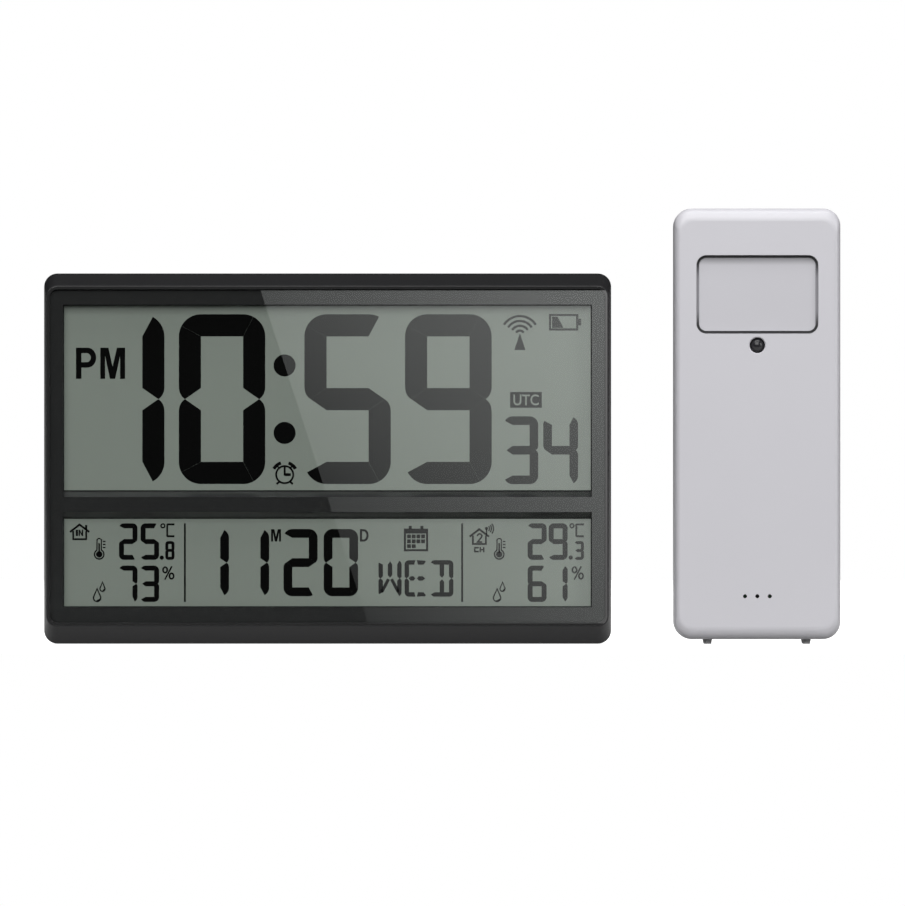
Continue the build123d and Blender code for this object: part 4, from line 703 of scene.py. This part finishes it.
# Bold letters in a box of 1 by 1, right and down.
BOLD = {
    "P": [[(0, 1), (0, 0), *bow(0.573, 0.319, 0.427, 0.319), (0.27, 0.639), (0.27, 1)],
          [(0.27, 0.174), *bow(0.533, 0.319, 0.2, 0.145), (0.27, 0.465)]],
    "M": [[(0, 1), (0, 0), (0.327, 0), (0.496, 0.606), (0.669, 0), (1, 0), (1, 1), (0.798, 1),
           (0.798, 0.268), (0.601, 1), (0.391, 1), (0.194, 0.268), (0.194, 1)]],
    "D": [[(0, 1), (0, 0), *bow(0.45, 0.5, 0.55, 0.5)],
          [(0.25, 0.17), *bow(0.44, 0.5, 0.31, 0.33), (0.25, 0.83)]],
    "C": [[(1, 0), (1, 0.14), (0.22, 0.14), (0.22, 0.86), (1, 0.86), (1, 1), (0.12, 1), (0, 0.92), (0, 0.08),
           (0.12, 0)]],
    "H": [[(0, 0), (0.3, 0), (0.3, 0.38), (0.7, 0.38), (0.7, 0), (1, 0), (1, 1), (0.7, 1), (0.7, 0.64),
           (0.3, 0.64), (0.3, 1), (0, 1)]],
    "I": [[(0, 0), (1, 0), (1, 1), (0, 1)]],
    "N": [[(0, 1), (0, 0), (0.3, 0), (0.7, 0.6), (0.7, 0), (1, 0), (1, 1), (0.7, 1), (0.3, 0.4), (0.3, 1)]],
}


def letter(sign, left, top, right, bottom):
    """Outlines of a bold letter that fills a box of the grid."""
    return [[(left + x * (right - left), top + y * (bottom - top)) for x, y in line] for line in BOLD[sign]]


def per_cent(left, top, right, bottom):
    """A per cent sign: two ovals and a slanting stroke."""
    wide, high = (right - left) * 0.24, (bottom - top) * 0.27
    groups = [[ribbon([(right - wide * 0.9, top), (left + wide * 0.9, bottom)], 1.5)]]
    for x, y in ((left + wide, top + high), (right - wide, bottom - high)):
        groups.append([oval(x, y, wide - wall, high - wall, 0, 360, 28)[:-1] for wall in (0, 1.7)])
    return groups


def outline_plate(outlines, thickness):
    """A flat filled curve made into a plate of that thickness."""
    curve = bpy.data.curves.new("plate", "CURVE")
    curve.dimensions = "2D"
    curve.fill_mode = "BOTH"
    curve.extrude = thickness / 2
    for outline in outlines:
        spline = curve.splines.new("POLY")
        spline.points.add(len(outline) - 1)
        for point, (x, y) in zip(spline.points, outline):
            point.co = (x, y, 0, 1)
        spline.use_cyclic_u = True
    plate = bpy.data.objects.new("plate", curve)
    bpy.context.scene.collection.objects.link(plate)
    alone(plate)
    bpy.ops.object.convert(target="MESH")
    return bpy.context.object


WORD_SIZE = 100.0


def word_plate(text, box, thickness, weight=0.0):
    """Lettering made into a plate that fills a box: left, bottom, right, top."""
    alone()
    bpy.ops.object.text_add()
    words = bpy.context.object
    words.data.body = text
    words.data.size = WORD_SIZE
    words.data.offset = weight * WORD_SIZE
    words.data.extrude = 0.5
    bpy.ops.object.convert(target="MESH")
    words = bpy.context.object
    xs = [vertex.co.x for vertex in words.data.vertices]
    ys = [vertex.co.y for vertex in words.data.vertices]
    words.scale = ((box[2] - box[0]) / (max(xs) - min(xs)), (box[3] - box[1]) / (max(ys) - min(ys)), thickness)
    words.location = (box[0] - min(xs) * words.scale.x, box[1] - min(ys) * words.scale.y, 0)
    apply_place()
    return words


def grid_point(point):
    """A point of the artwork's grid, right and up from the picture's middle."""
    return point[0] - GRID_MIDDLE[0], GRID_MIDDLE[1] - point[1]


# Points of the artwork closer than this, in grid units, are one point.
MERGE_GRID = 0.0005


def artwork(name, groups, words=(), lift=0.0, look="segment_ink"):
    """One piece of the display's artwork, laid on the film. Words are (text, left, top, right, bottom, weight)."""
    display = bpy.context.scene.clock_display
    unit = display.grid
    depth = display.thickness / unit
    plates = [outline_plate([[grid_point(p) for p in line] for line in group], depth) for group in groups]
    for text, left, top, right, bottom, weight in words:
        box = (*grid_point((left, bottom)), *grid_point((right, top)))
        plates.append(word_plate(text, box, depth, weight))
    piece = joined(plates)
    tidy_mesh(piece, MERGE_GRID)
    piece.scale = (unit, unit, unit)
    piece.rotation_euler = (math.pi / 2, 0, 0)
    piece.location = (PICTURE_MIDDLE[0], DISPLAY_FACE - lift - display.thickness / 2, PICTURE_MIDDLE[1])
    return settle(piece, name, "clock", finish(look))


class CLOCK_OT_cases(Operator):
    """Finish the clock's cases, door, stand and buttons"""

    bl_idname = "clock.finish_cases"
    bl_label = "Clock cases"

    def execute(self, context):
        dress("clock_front_case", "clock_rear_case", "clock_battery_door", "table_stand", "clock_case_screws",
              "set_button", "up_button", "down_button", "alarm_button", "channel_button", "zone_button")
        return {"FINISHED"}


PANE_RADIUS = 2.3 * MM
PANE_EDGE = 0.15 * MM
PANE_GAP = 0.06 * MM


class CLOCK_OT_window(Operator):
    """Make the clock's window, with broken edges and a thin gap behind it"""

    bl_idname = "clock.make_window"
    bl_label = "Window"

    def execute(self, context):
        wide, high = WINDOW_HIGH.x - WINDOW_LOW.x, WINDOW_HIGH.z - WINDOW_LOW.z
        alone()
        bpy.ops.mesh.primitive_plane_add(size=1.0, rotation=(math.pi / 2, 0, 0))
        pane = context.object
        pane.scale = (wide, high, 1.0)
        pane.location = (WINDOW_LOW + WINDOW_HIGH) / 2
        pane.location.y = WINDOW_LOW.y
        apply_place()
        choose(pane, "VERT", lambda place, normal: True)
        bpy.ops.mesh.bevel(offset=PANE_RADIUS, segments=10, affect="VERTICES")
        bpy.ops.mesh.select_all(action="SELECT")
        depth = WINDOW_HIGH.y - WINDOW_LOW.y - PANE_GAP
        extrude(0, depth, 0)
        choose(pane, "EDGE", lambda place, normal: place.y < WINDOW_LOW.y + SKIN)
        bpy.ops.mesh.bevel(offset=PANE_EDGE, segments=1, affect="EDGES")
        tidy_mesh(pane, MERGE)
        settle(pane, "clock_window_pane", "clock", finish("clear_acrylic"), ("clock_window",))
        return {"FINISHED"}


class CLOCK_OT_works(Operator):
    """Finish the clock's display stack, boards and other inner parts"""

    bl_idname = "clock.finish_works"
    bl_label = "Clock works"

    def execute(self, context):
        dress("lcd_front_polariser", "lcd_front_glass", "lcd_rear_glass", "lcd_reflector",
              "lcd_carrier", "lcd_zebra_strip", "main_board", "board_screws", "processor_blob",
              "board_components", "key_switches", "radio_receiver", "indoor_sensor_board", "buzzer",
              "ferrite_rod", "antenna_coil", "clock_battery_plates")
        return {"FINISHED"}


class CLOCK_OT_sensor(Operator):
    """Finish the sensor's cases, window, lamp and inner parts"""

    bl_idname = "clock.finish_sensor"
    bl_label = "Sensor"

    def execute(self, context):
        dress("sensor_front_case", "sensor_rear_case", "sensor_battery_door", "sensor_window",
              "sensor_window_gasket", "sensor_seal", "sensor_lcd", "sensor_zebra_strip", "sensor_board",
              "sensor_lamp", "humidity_element", "sensor_antenna", "sensor_case_screws", "sensor_feet",
              "sensor_battery_plates", "channel_switch_body", "channel_switch_knob", "transmit_switch",
              "transmit_button")
        return {"FINISHED"}


# Cells of the display's digits, left and right edges, rows, top and bottom edges, and strokes, all on the grid.
HOUR_CELLS = ((78.0, 164.5), (178.8, 265.3))
MINUTE_CELLS = ((304.4, 390.8), (405.0, 491.7))
SECOND_CELLS = ((504.0, 538.2), (543.3, 578.1))
TIME_ROWS = (314.2, 484.0)
SECOND_ROWS = (416.3, 484.1)
MONTH_CELLS = ((194.7, 229.0), (234.9, 269.2))
DAY_CELLS = ((283.5, 317.6), (323.7, 358.1))
DATE_ROWS = (529.0, 596.2)
UPPER_ROWS = (523.3, 559.8)
LOWER_ROWS = (565.6, 601.9)
TENTH_ROWS = (541.1, 559.8)
WEEKDAY_CELLS = ((378.5, 401.6), (404.6, 427.6), (430.4, 453.4))
WEEKDAY_ROWS = (560.2, 596.6)
TIME_STROKE = 22.2
SECOND_STROKE = 8.6
DATE_STROKE = 8.8
READOUT_STROKE = 5.0
TENTH_STROKE = 3.0
WEEKDAY_STROKE = 4.4


class CLOCK_OT_time(Operator):
    """Draw the time: hours, colon, minutes, seconds and the half of the day"""

    bl_idname = "clock.draw_time"
    bl_label = "Time"

    def execute(self, context):
        artwork("lcd_hours", [number("10", HOUR_CELLS, *TIME_ROWS, TIME_STROKE)])
        artwork("lcd_minutes", [number("59", MINUTE_CELLS, *TIME_ROWS, TIME_STROKE)])
        artwork("lcd_seconds", [number("34", SECOND_CELLS, *SECOND_ROWS, SECOND_STROKE)])
        artwork("lcd_colon", [[circle(284.6, y, 11, 56)] for y in (365.4, 432.9)])
        artwork("lcd_day_half", [letter("P", 76.0, 347.7, 96.2, 378.8), letter("M", 100.3, 347.7, 125.1, 378.8)])
        return {"FINISHED"}


class CLOCK_OT_signs(Operator):
    """Draw the signs beside the time: alarm, radio signal, cell and zone"""

    bl_idname = "clock.draw_signs"
    bl_label = "Signs"

    def execute(self, context):
        x, y = 284.7, 474.6
        bells = [[ribbon(arc(x, y, 12.2, start, start + 44), 3.3)] for start in (28, 108)]
        stems = [[ribbon(arc(x, y, 10.0, start, start + 9, 2), 3.0)] for start in (45, 126)]
        feet = [[ribbon([(x + side * 5.0, y + 6.9), (x + side * 8.2, y + 9.4)], 2.0)] for side in (-1, 1)]
        hands = [[ribbon([(x, y - 8.0), (x, y + 1.0)], 2.0)], [ribbon([(x, y), (x + 6.2, y)], 2.8)]]
        artwork("lcd_alarm_sign", [ring_outlines(x, y, 9.5, 1.9)] + bells + stems + feet + hands)
        waves = [[ribbon(arc(519.9, 335, radius, 33, 147, 24), 2.3)] for radius in (18.9, 14.0, 9.2, 4.4)]
        mast = [[(519.6, 334.0), (520.2, 334.0), (525.4, 350.0), (514.4, 350.0)]]
        artwork("lcd_radio_sign", waves + [mast])
        case = frame_outlines(549.0, 313.9, 578.2, 330.5, 2.1)
        charge = [[(552.1, 316.6), (557.5, 316.6), (563.5, 327.8), (552.1, 327.8)]]
        artwork("lcd_cell_sign", [case, [box_outline(578.2, 318.7, 581.1, 325.3)], charge])
        artwork("lcd_zone_tag", [[box_outline(510.2, 392.0, 541.8, 407.7)]])
        artwork("lcd_zone_letters", [], [("UTC", 513.4, 394.4, 538.8, 405.3, 0.012)],
                context.scene.clock_display.thickness, "lcd_film")
        return {"FINISHED"}


def house_lines(x, roof, base):
    """Roof, chimney and walls of a small house, from its left eave."""
    return [[ribbon([(x, roof + 8.0), (x + 9.5, roof + 0.6), (x + 19.3, roof + 8.0)], 2.0)],
            [ribbon([(x + 16.2, roof + 1.0), (x + 16.2, roof + 5.4)], 2.2)],
            [ribbon([(x + 3.2, roof + 7.0), (x + 3.2, base), (x + 16.2, base), (x + 16.2, roof + 7.0)], 1.8)]]


def thermometer_lines(x):
    """A thermometer with three ticks, from the middle of its tube."""
    tube = [ribbon([(x - 2.2, 550.4), (x - 2.2, 539.8), (x - 1.0, 538.6), (x + 1.0, 538.6),
                    (x + 2.2, 539.8), (x + 2.2, 550.4)], 1.2)]
    bulb = [ribbon(arc(x, 554.3, 4.7, 116, 424, 34), 1.4)]
    ticks = [[ribbon([(x + 3.7, y), (x + 6.3, y)], 1.3)] for y in (541.5, 544.5, 547.5)]
    column = [ribbon([(x, 543.2), (x, 553.0)], 1.7)]
    return [tube, bulb, [circle(x, 554.3, 3.2, 28)], column] + ticks


def readout(name, x, house, cells, point, tenth_cell, warm, tenth, damp):
    """One climate readout: house, thermometer, drops, temperature and humidity.

    It has the middle of the thermometer's tube, the cells of the whole numbers, the place of the point, the cell
    of the tenth, and what they show."""
    left, right = tenth_cell
    large, small = (x - 2.1, 597.8), (x + 3.3, 588.8)
    artwork(f"lcd_{name}_house", house)
    artwork(f"lcd_{name}_thermometer", thermometer_lines(x))
    artwork(f"lcd_{name}_drops", [
        drop_outlines(*large, 4.3, 587.4, 1.3), [arc(*large, 3.4, -115, -5)],
        drop_outlines(*small, 3.1, 580.9, 1.2), [arc(*small, 2.3, -100, 20)]])
    artwork(f"lcd_{name}_temperature", [
        number(warm, cells, *UPPER_ROWS, READOUT_STROKE), [circle(point, 557.6, 2.1, 20)],
        number(tenth, (tenth_cell,), *TENTH_ROWS, TENTH_STROKE), ring_outlines(left - 2.4, 525.8, 2.6, 1.4),
        letter("C", left + 1.0, 523.4, right - 0.1, 537.2)])
    artwork(f"lcd_{name}_humidity", [number(damp, cells, *LOWER_ROWS, READOUT_STROKE)]
            + per_cent(right - 12.3, 566.3, right, 579.6))


class CLOCK_OT_climate(Operator):
    """Draw the two climate readouts and the dividers between the fields"""

    bl_idname = "clock.draw_climate"
    bl_label = "Climate readouts"

    def execute(self, context):
        name = [letter("I", 75.8, 529.7, 78.0, 536.0), letter("N", 78.6, 529.7, 83.2, 536.0)]
        readout("indoor", 99.2, house_lines(70.0, 524.0, 539.2) + name, ((119.0, 137.5), (140.6, 159.1)), 161.8,
                (165.3, 174.5), "25", "8", "73")
        waves = [[ribbon(arc(485.4, 528.6, radius, -37, 37, 12), 1.3)] for radius in (4.0, 6.0, 8.1)]
        waves += [[circle(486.5, 528.5, 1.6, 16)], [ribbon([(486.5, 529.0), (486.5, 534.8)], 1.4)]]
        channel = [(477.3, 536.2), (477.9, 534.6), (479.4, 533.7), (481.3, 534.3), (481.9, 535.9), (481.2, 537.6),
                   (477.6, 542.0), (482.2, 542.0)]
        curl = [(478.8, 547.7), (474.8, 547.7), (474.8, 551.5), (478.8, 551.5)]
        name = [[ribbon(channel, 1.5)], [ribbon(curl, 1.5)], letter("H", 479.6, 547.0, 484.4, 552.2)]
        readout("outdoor", 499.2, house_lines(469.7, 528.6, 544.0)[::2] + waves + name,
                ((527.6, 546.6), (548.7, 567.6)), 570.7, (574.4, 583.9), "29", "3", "61")
        artwork("lcd_dividers", [[box_outline(left, 523.3, right, 601.9)]
                                 for left, right in ((184.0, 185.8), (461.2, 463.1))])
        # A black frame inside each of the mask's openings: painted shade along their edges.
        artwork("lcd_foam_cord", [frame_outlines(63.0, top, 591.9, bottom, 1.1)
                                  for top, bottom in ((304.5, 491.3), (517.7, 607.3))], look="edge_shade_frame")
        return {"FINISHED"}


class CLOCK_OT_date(Operator):
    """Draw the date, the calendar sign and the weekday"""

    bl_idname = "clock.draw_date"
    bl_label = "Date"

    def execute(self, context):
        artwork("lcd_date", [number("11", MONTH_CELLS, *DATE_ROWS, DATE_STROKE),
                             number("20", DAY_CELLS, *DATE_ROWS, DATE_STROKE)])
        artwork("lcd_date_letters", [letter("M", 271.1, 529.2, 281.0, 541.5),
                                     letter("D", 359.9, 529.2, 368.6, 541.5)])
        days = [[box_outline(x - 1.9, y - 1.9, x + 1.9, y + 1.9)]
                for y, count in ((536.4, 4), (541.3, 4), (546.1, 2))
                for x in (409.0, 413.7, 418.4, 423.1)[:count]]
        rings = [[box_outline(x - 1.5, 525.9, x + 1.5, 528.8)] for x in (410.2, 421.9)]
        sheet = [box_outline(403.9, 528.6, 428.1, 551.2), box_outline(405.9, 533.5, 426.1, 549.2)]
        artwork("lcd_calendar_sign", [sheet] + rings + days)
        artwork("lcd_weekday", [group for sign, cell in zip("WED", WEEKDAY_CELLS)
                                for group in weekday_letter(sign, *cell, *WEEKDAY_ROWS, WEEKDAY_STROKE)])
        return {"FINISHED"}


# A cell's small sizes: wall of its jacket, rims and dents of its two ends, roundings, sides of its round shapes.
JACKET_WALL = 0.18 * MM
JACKET_SKIN = 0.01 * MM
TOP_RIM = 1.1 * MM
TOP_DENT = 0.5 * MM
BASE_RIM = 1.2 * MM
BASE_DENT = 0.25 * MM
NUB_ROUND = 0.35 * MM
JACKET_END = 0.4 * MM
BAND_START = 0.74
CELL_SIDES = 56
FACING = 0.9


def cell_parts():
    """One cell that stands on its flat end at the origin: steel can, jacket and band."""
    cell = bpy.context.scene.clock_cell
    radius = cell.radius - JACKET_WALL
    alone()
    bpy.ops.mesh.primitive_cylinder_add(
        vertices=CELL_SIDES, radius=radius, depth=cell.length, location=(0, 0, cell.length / 2))
    can = bpy.context.object
    apply_place()
    choose(can, "FACE", lambda place, normal: normal.z > FACING)
    bpy.ops.mesh.inset(thickness=TOP_RIM)
    extrude(0, 0, -TOP_DENT)
    bpy.ops.mesh.inset(thickness=radius - TOP_RIM - cell.nub_radius)
    extrude(0, 0, cell.nub_length + TOP_DENT)
    bpy.ops.mesh.bevel(offset=NUB_ROUND, segments=3, affect="EDGES")
    choose(can, "FACE", lambda place, normal: normal.z < -FACING)
    bpy.ops.mesh.inset(thickness=BASE_RIM)
    extrude(0, 0, BASE_DENT)
    alone(can)
    can.data.materials.append(finish("contact_nickel"))
    parts = [can]
    border = cell.length * BAND_START
    for low, high, look in ((JACKET_END, border, "cell_jacket"), (border, cell.length - JACKET_END, "band_print")):
        bpy.ops.mesh.primitive_cylinder_add(
            vertices=CELL_SIDES, radius=cell.radius - JACKET_SKIN, depth=high - low, end_fill_type="NOTHING",
            location=(0, 0, (low + high) / 2))
        sleeve = bpy.context.object
        apply_place()
        wall = sleeve.modifiers.new("wall", "SOLIDIFY")
        wall.thickness = JACKET_WALL * 0.9
        wall.offset = -1
        bpy.ops.object.modifier_apply(modifier="wall")
        sleeve.data.materials.append(finish(look))
        parts.append(sleeve)
    whole = joined(parts)
    bpy.ops.object.shade_smooth_by_angle(angle=math.radians(40))
    return whole


# Seats in millimetres, with the turn about X and Y that points each cell or spring from its flat end.
CELL_SEATS = {"clock": (((25.6, 4.75, 20.85), (0, 90)), ((70.4, 4.75, 36.35), (0, -90))),
              "sensor": (((120.95, 0.85, 26.0), (0, 0)), ((136.45, 0.85, 70.8), (180, 0)))}
SPRING_SEATS = {"clock": (((19.5, 4.75, 20.85), (0, 90)), ((76.5, 4.75, 36.35), (0, -90))),
                "sensor": (((120.95, 0.85, 19.9), (0, 0)), ((136.45, 0.85, 76.9), (180, 0)))}


def seated(maker, seats):
    """Copies of one made shape set on their seats and joined."""
    first = maker()
    copies = []
    for place, turn in seats:
        alone(first)
        bpy.ops.object.duplicate()
        copy = bpy.context.object
        copy.location = [part * MM for part in place]
        copy.rotation_euler = (math.radians(turn[0]), math.radians(turn[1]), 0)
        apply_place()
        copies.append(copy)
    bpy.data.objects.remove(first)
    return joined(copies)


class CLOCK_OT_cells(Operator):
    """Make the four cells with their jackets, bands and nubs"""

    bl_idname = "clock.make_cells"
    bl_label = "Cells"

    def execute(self, context):
        for body, seats in CELL_SEATS.items():
            settle(seated(cell_parts, seats), f"{body}_cells", body, None, (f"{body}_batteries",))
        return {"FINISHED"}


SPRING_LENGTH = 6.0 * MM
SPRING_BASE = 4.0 * MM
SPRING_TIP = 2.6 * MM


def coil_spring():
    """A conical contact spring wound up from the origin."""
    cell = bpy.context.scene.clock_cell
    alone()
    bpy.ops.mesh.primitive_circle_add(
        vertices=10, radius=cell.wire, location=(SPRING_BASE - cell.wire, 0, cell.wire),
        rotation=(math.pi / 2, 0, 0))
    coil = bpy.context.object
    apply_place()
    winding = coil.modifiers.new("winding", "SCREW")
    winding.axis = "Z"
    winding.iterations = cell.turns
    winding.screw_offset = (SPRING_LENGTH - 2 * cell.wire) / cell.turns
    winding.steps = winding.render_steps = 28
    bpy.ops.object.modifier_apply(modifier="winding")
    cone = coil.modifiers.new("cone", "SIMPLE_DEFORM")
    cone.deform_method = "TAPER"
    cone.deform_axis = "Z"
    cone.factor = SPRING_TIP / SPRING_BASE - 1
    bpy.ops.object.modifier_apply(modifier="cone")
    bpy.ops.object.mode_set(mode="EDIT")
    bpy.ops.mesh.select_mode(type="EDGE")
    bpy.ops.mesh.select_all(action="DESELECT")
    bpy.ops.mesh.select_non_manifold()
    bpy.ops.mesh.fill_holes(sides=0)
    tidy_mesh(coil, MERGE)
    bpy.ops.object.shade_smooth_by_angle(angle=math.radians(50))
    return coil


class CLOCK_OT_springs(Operator):
    """Wind the contact springs of both battery bays"""

    bl_idname = "clock.wind_springs"
    bl_label = "Contact springs"

    def execute(self, context):
        for body, seats in SPRING_SEATS.items():
            settle(seated(coil_spring, seats), f"{body}_contact_coils", body,
                   finish("contact_nickel"), (f"{body}_battery_springs",))
        return {"FINISHED"}


# Words over the buttons, which read from behind, with their sizes in millimetres: letter height, room for each
# letter, height over the button and thickness of the print, half of which lies in the case.
BUTTON_WORDS = {"set": "SET", "up": "UP", "down": "DOWN", "alarm": "ALARM", "channel": "CH", "zone": "ZONE"}
WORD_HEIGHT = 2.2
WORD_STEP = 1.62
WORD_RISE = 2.2
WORD_THICKNESS = 0.02


class CLOCK_OT_marks(Operator):
    """Print the words over the clock's buttons"""

    bl_idname = "clock.print_marks"
    bl_label = "Button marks"

    def execute(self, context):
        for button, text in BUTTON_WORDS.items():
            low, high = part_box(f"{button}_button")
            half = len(text) * WORD_STEP / 2
            word = word_plate(text, (-half, 0, half, WORD_HEIGHT), WORD_THICKNESS)
            tidy_mesh(word, MERGE / MM)
            word.scale = (MM, MM, MM)
            word.rotation_euler = (math.pi / 2, 0, math.pi)
            word.location = ((low.x + high.x) / 2, CLOCK_BACK, high.z + WORD_RISE * MM)
            settle(word, f"mark_{button}", "clock", finish("pad_print"))
        return {"FINISHED"}


# The edge of the window's glare, top and bottom, and its reach to the right, in millimetres on the window.
GLARE_EDGE = ((-20.03, 105.84), (12.15, 6.17))
GLARE_FAR = 90.0
# How far the card stands behind the lens.
GLARE_GAP = 0.5
# Brightness of the card on the picture's axis, and its rise over a metre of the window, right and up.
GLARE_LEVEL = 0.458
GLARE_RISE = (4.81, 0.0, 4.39)
# Size and place of the floor, and its glow in soft and in sharp reflections.
FLOOR_SIZE = (4.0, 2.2, 1.0)
FLOOR_PLACE = (0.0, 0.91, -0.0002)
FLOOR_SOFT = 0.55
FLOOR_SHARP = 0.10
# Brightness of the room to the eye, as light and as it is mirrored.
ROOM_SEEN = 1.0
ROOM_LIGHT = 0.14
ROOM_MIRRORED = 0.012
# The soft lights, all aimed at the clock: place, size and the setting of their power.
SOFTBOXES = {"key_softbox": ((-0.15, -1.45, 1.35), (2.0, 1.1), "key"),
             "front_fill": ((-0.1, -1.55, 0.62), (1.3, 0.3), "fill"),
             "side_fill": ((1.6, -0.8, 0.5), (0.6, 0.9), "side"),
             "top_strip": ((0.05, -0.22, 0.95), (0.9, 0.18), "top"),
             "back_fill": ((0.3, 1.6, 1.0), (1.4, 1.0), "key")}


class CLOCK_OT_stage(Operator):
    """Set up the floor, the lights and the camera"""

    bl_idname = "clock.set_stage"
    bl_label = "Stage"

    def execute(self, context):
        scene = context.scene
        settings = scene.clock_stage
        scene.view_settings.view_transform = "Standard"
        eye = (PICTURE_MIDDLE[0], CASE_FRONT - settings.distance, PICTURE_MIDDLE[1])
        alone()
        bpy.ops.object.camera_add(location=eye, rotation=(math.pi / 2, 0, 0))
        camera = context.object
        camera.name = "picture_camera"
        camera.data.sensor_fit = "HORIZONTAL"
        camera.data.sensor_width = CAMERA_SENSOR
        camera.data.lens = CAMERA_SENSOR * settings.distance / PICTURE_WIDTH
        scene.camera = camera
        self.white_room(scene)
        self.floor(settings)
        self.glare_card(settings, eye)
        for name, (place, size, power) in SOFTBOXES.items():
            self.softbox(name, place, size, getattr(settings, power))
        return {"FINISHED"}

    def white_room(self, scene):
        """A white room to the eye, and a dim one for what it lights and mirrors."""
        world = bpy.data.worlds.new("white_room")
        scene.world = world
        world.use_nodes = True
        tree = world.node_tree
        tree.nodes.clear()
        rays = add(tree, "LightPath")
        seen, light, dark = (add(tree, "Background", {"Color": (1, 1, 1, 1), "Strength": strength})
                             for strength in (ROOM_SEEN, ROOM_LIGHT, ROOM_MIRRORED))
        unseen = add(tree, "MixShader", None, {0: rays.outputs["Is Glossy Ray"], 1: light, 2: dark})
        both = add(tree, "MixShader", None, {0: rays.outputs["Is Camera Ray"], 1: unseen, 2: seen})
        add(tree, "OutputWorld", None, {"Surface": both})

    def floor(self, settings):
        """A pale floor, which soft reflections see dimmer and sharp ones as a faint even glow."""
        alone()
        bpy.ops.mesh.primitive_plane_add(size=1.0)
        floor = bpy.context.object
        floor.name = "floor"
        floor.scale = FLOOR_SIZE
        floor.location = FLOOR_PLACE
        apply_place()
        material, tree, shader, place = begin("floor_white_card")
        grain = add(tree, "TexNoise", {"Scale": 1 / (25 * MM)}, {"Vector": place})
        shine = add(tree, "MapRange", {"To Min": 0.7, "To Max": 0.9}, {"Value": grain})
        rays = add(tree, "LightPath")
        soft = add(tree, "MapRange", {"To Min": settings.floor, "To Max": FLOOR_SOFT},
                   {"Value": rays.outputs["Is Glossy Ray"]})
        fit(tree, shader, {"Base Color": (0.5, 0.5, 0.5, 1), "Emission Color": (1, 1, 1, 1)},
            {"Roughness": shine, "Emission Strength": soft})
        sharp = add(tree, "Emission", {"Strength": FLOOR_SHARP})
        both = add(tree, "MixShader", None, {0: rays.outputs["Is Singular Ray"], 1: shader, 2: sharp})
        fit(tree, tree.nodes["Material Output"], None, {"Surface": both})
        floor.data.materials.append(material)
        floor.visible_diffuse = False

    def glare_card(self, settings, eye):
        """A bright card behind the lens, whose slanting edge the window mirrors."""
        reach = WINDOW_LOW.y - eye[1]
        far = (reach + GLARE_GAP) / reach
        (top_x, top_z), (low_x, low_z) = GLARE_EDGE
        corners = ((low_x, low_z), (GLARE_FAR, low_z), (top_x, top_z), (GLARE_FAR, top_z))
        alone()
        bpy.ops.mesh.primitive_plane_add(size=1.0)
        card = bpy.context.object
        card.name = "glare_card"
        for vertex, (x, z) in zip(card.data.vertices, corners):
            vertex.co = (x * MM + (x * MM - eye[0]) * far, eye[1] - GLARE_GAP, z * MM + (z * MM - eye[2]) * far)
        material, tree, shader, place = begin("glare_card_glow")
        slope = [part * settings.glare / (1 + far) for part in GLARE_RISE]
        rise = add(tree, "VectorMath", {"operation": "DOT_PRODUCT", 1: slope}, {0: place})
        level = GLARE_LEVEL * settings.glare - slope[0] * eye[0] - slope[2] * eye[2]
        fall = add(tree, "Math", {"operation": "ADD", 1: level}, {0: rise})
        glow = add(tree, "Emission", None, {"Strength": fall})
        tree.nodes.remove(shader)
        fit(tree, tree.nodes["Material Output"], None, {"Surface": glow})
        card.data.materials.append(material)
        card.visible_camera = card.visible_diffuse = card.visible_transmission = card.visible_shadow = False

    def softbox(self, name, place, size, power):
        """One soft rectangular light aimed at the clock; the one behind it isn't mirrored."""
        alone()
        bpy.ops.object.light_add(type="AREA", location=place)
        lamp = bpy.context.object
        lamp.name = name
        lamp.data.shape = "RECTANGLE"
        lamp.data.size, lamp.data.size_y = size
        lamp.data.energy = power
        away = lamp.location - Vector((PICTURE_MIDDLE[0], CASE_FRONT, PICTURE_MIDDLE[1]))
        lamp.rotation_euler = away.to_track_quat("Z", "Y").to_euler()
        lamp.visible_glossy = place[1] < CASE_FRONT


OPERATORS = (CLOCK_OT_cases, CLOCK_OT_window, CLOCK_OT_works, CLOCK_OT_sensor, CLOCK_OT_time, CLOCK_OT_signs,
             CLOCK_OT_climate, CLOCK_OT_date, CLOCK_OT_cells, CLOCK_OT_springs, CLOCK_OT_marks, CLOCK_OT_stage)
GROUPS = (("clock_case", CaseSettings), ("clock_display", DisplaySettings), ("clock_cell", CellSettings),
          ("clock_stage", StageSettings))


class CLOCK_PT_panel(Panel):
    """The settings and the steps that make the room clock"""

    bl_idname = "CLOCK_PT_panel"
    bl_label = "Room Clock"
    bl_space_type = "VIEW_3D"
    bl_region_type = "UI"
    bl_category = "Room Clock"

    def draw(self, context):
        for name, group in GROUPS:
            box = self.layout.box()
            for field in group.__annotations__:
                box.prop(getattr(context.scene, name), field)
        for step in OPERATORS:
            self.layout.operator(step.bl_idname)


def register():
    """Register the settings, the steps and the panel."""
    for name, group in GROUPS:
        bpy.utils.register_class(group)
        setattr(bpy.types.Scene, name, PointerProperty(type=group))
    for step in (*OPERATORS, CLOCK_PT_panel):
        bpy.utils.register_class(step)


def unregister():
    """Take the panel, the steps and the settings out again."""
    for step in (CLOCK_PT_panel, *reversed(OPERATORS)):
        bpy.utils.unregister_class(step)
    for name, group in reversed(GROUPS):
        delattr(bpy.types.Scene, name)
        bpy.utils.unregister_class(group)


def main():
    """Run every step in order."""
    register()
    alone()
    for step in OPERATORS:
        family, action = step.bl_idname.split(".")
        getattr(getattr(bpy.ops, family), action)()
    alone()


if __name__ == "__main__":
    main()
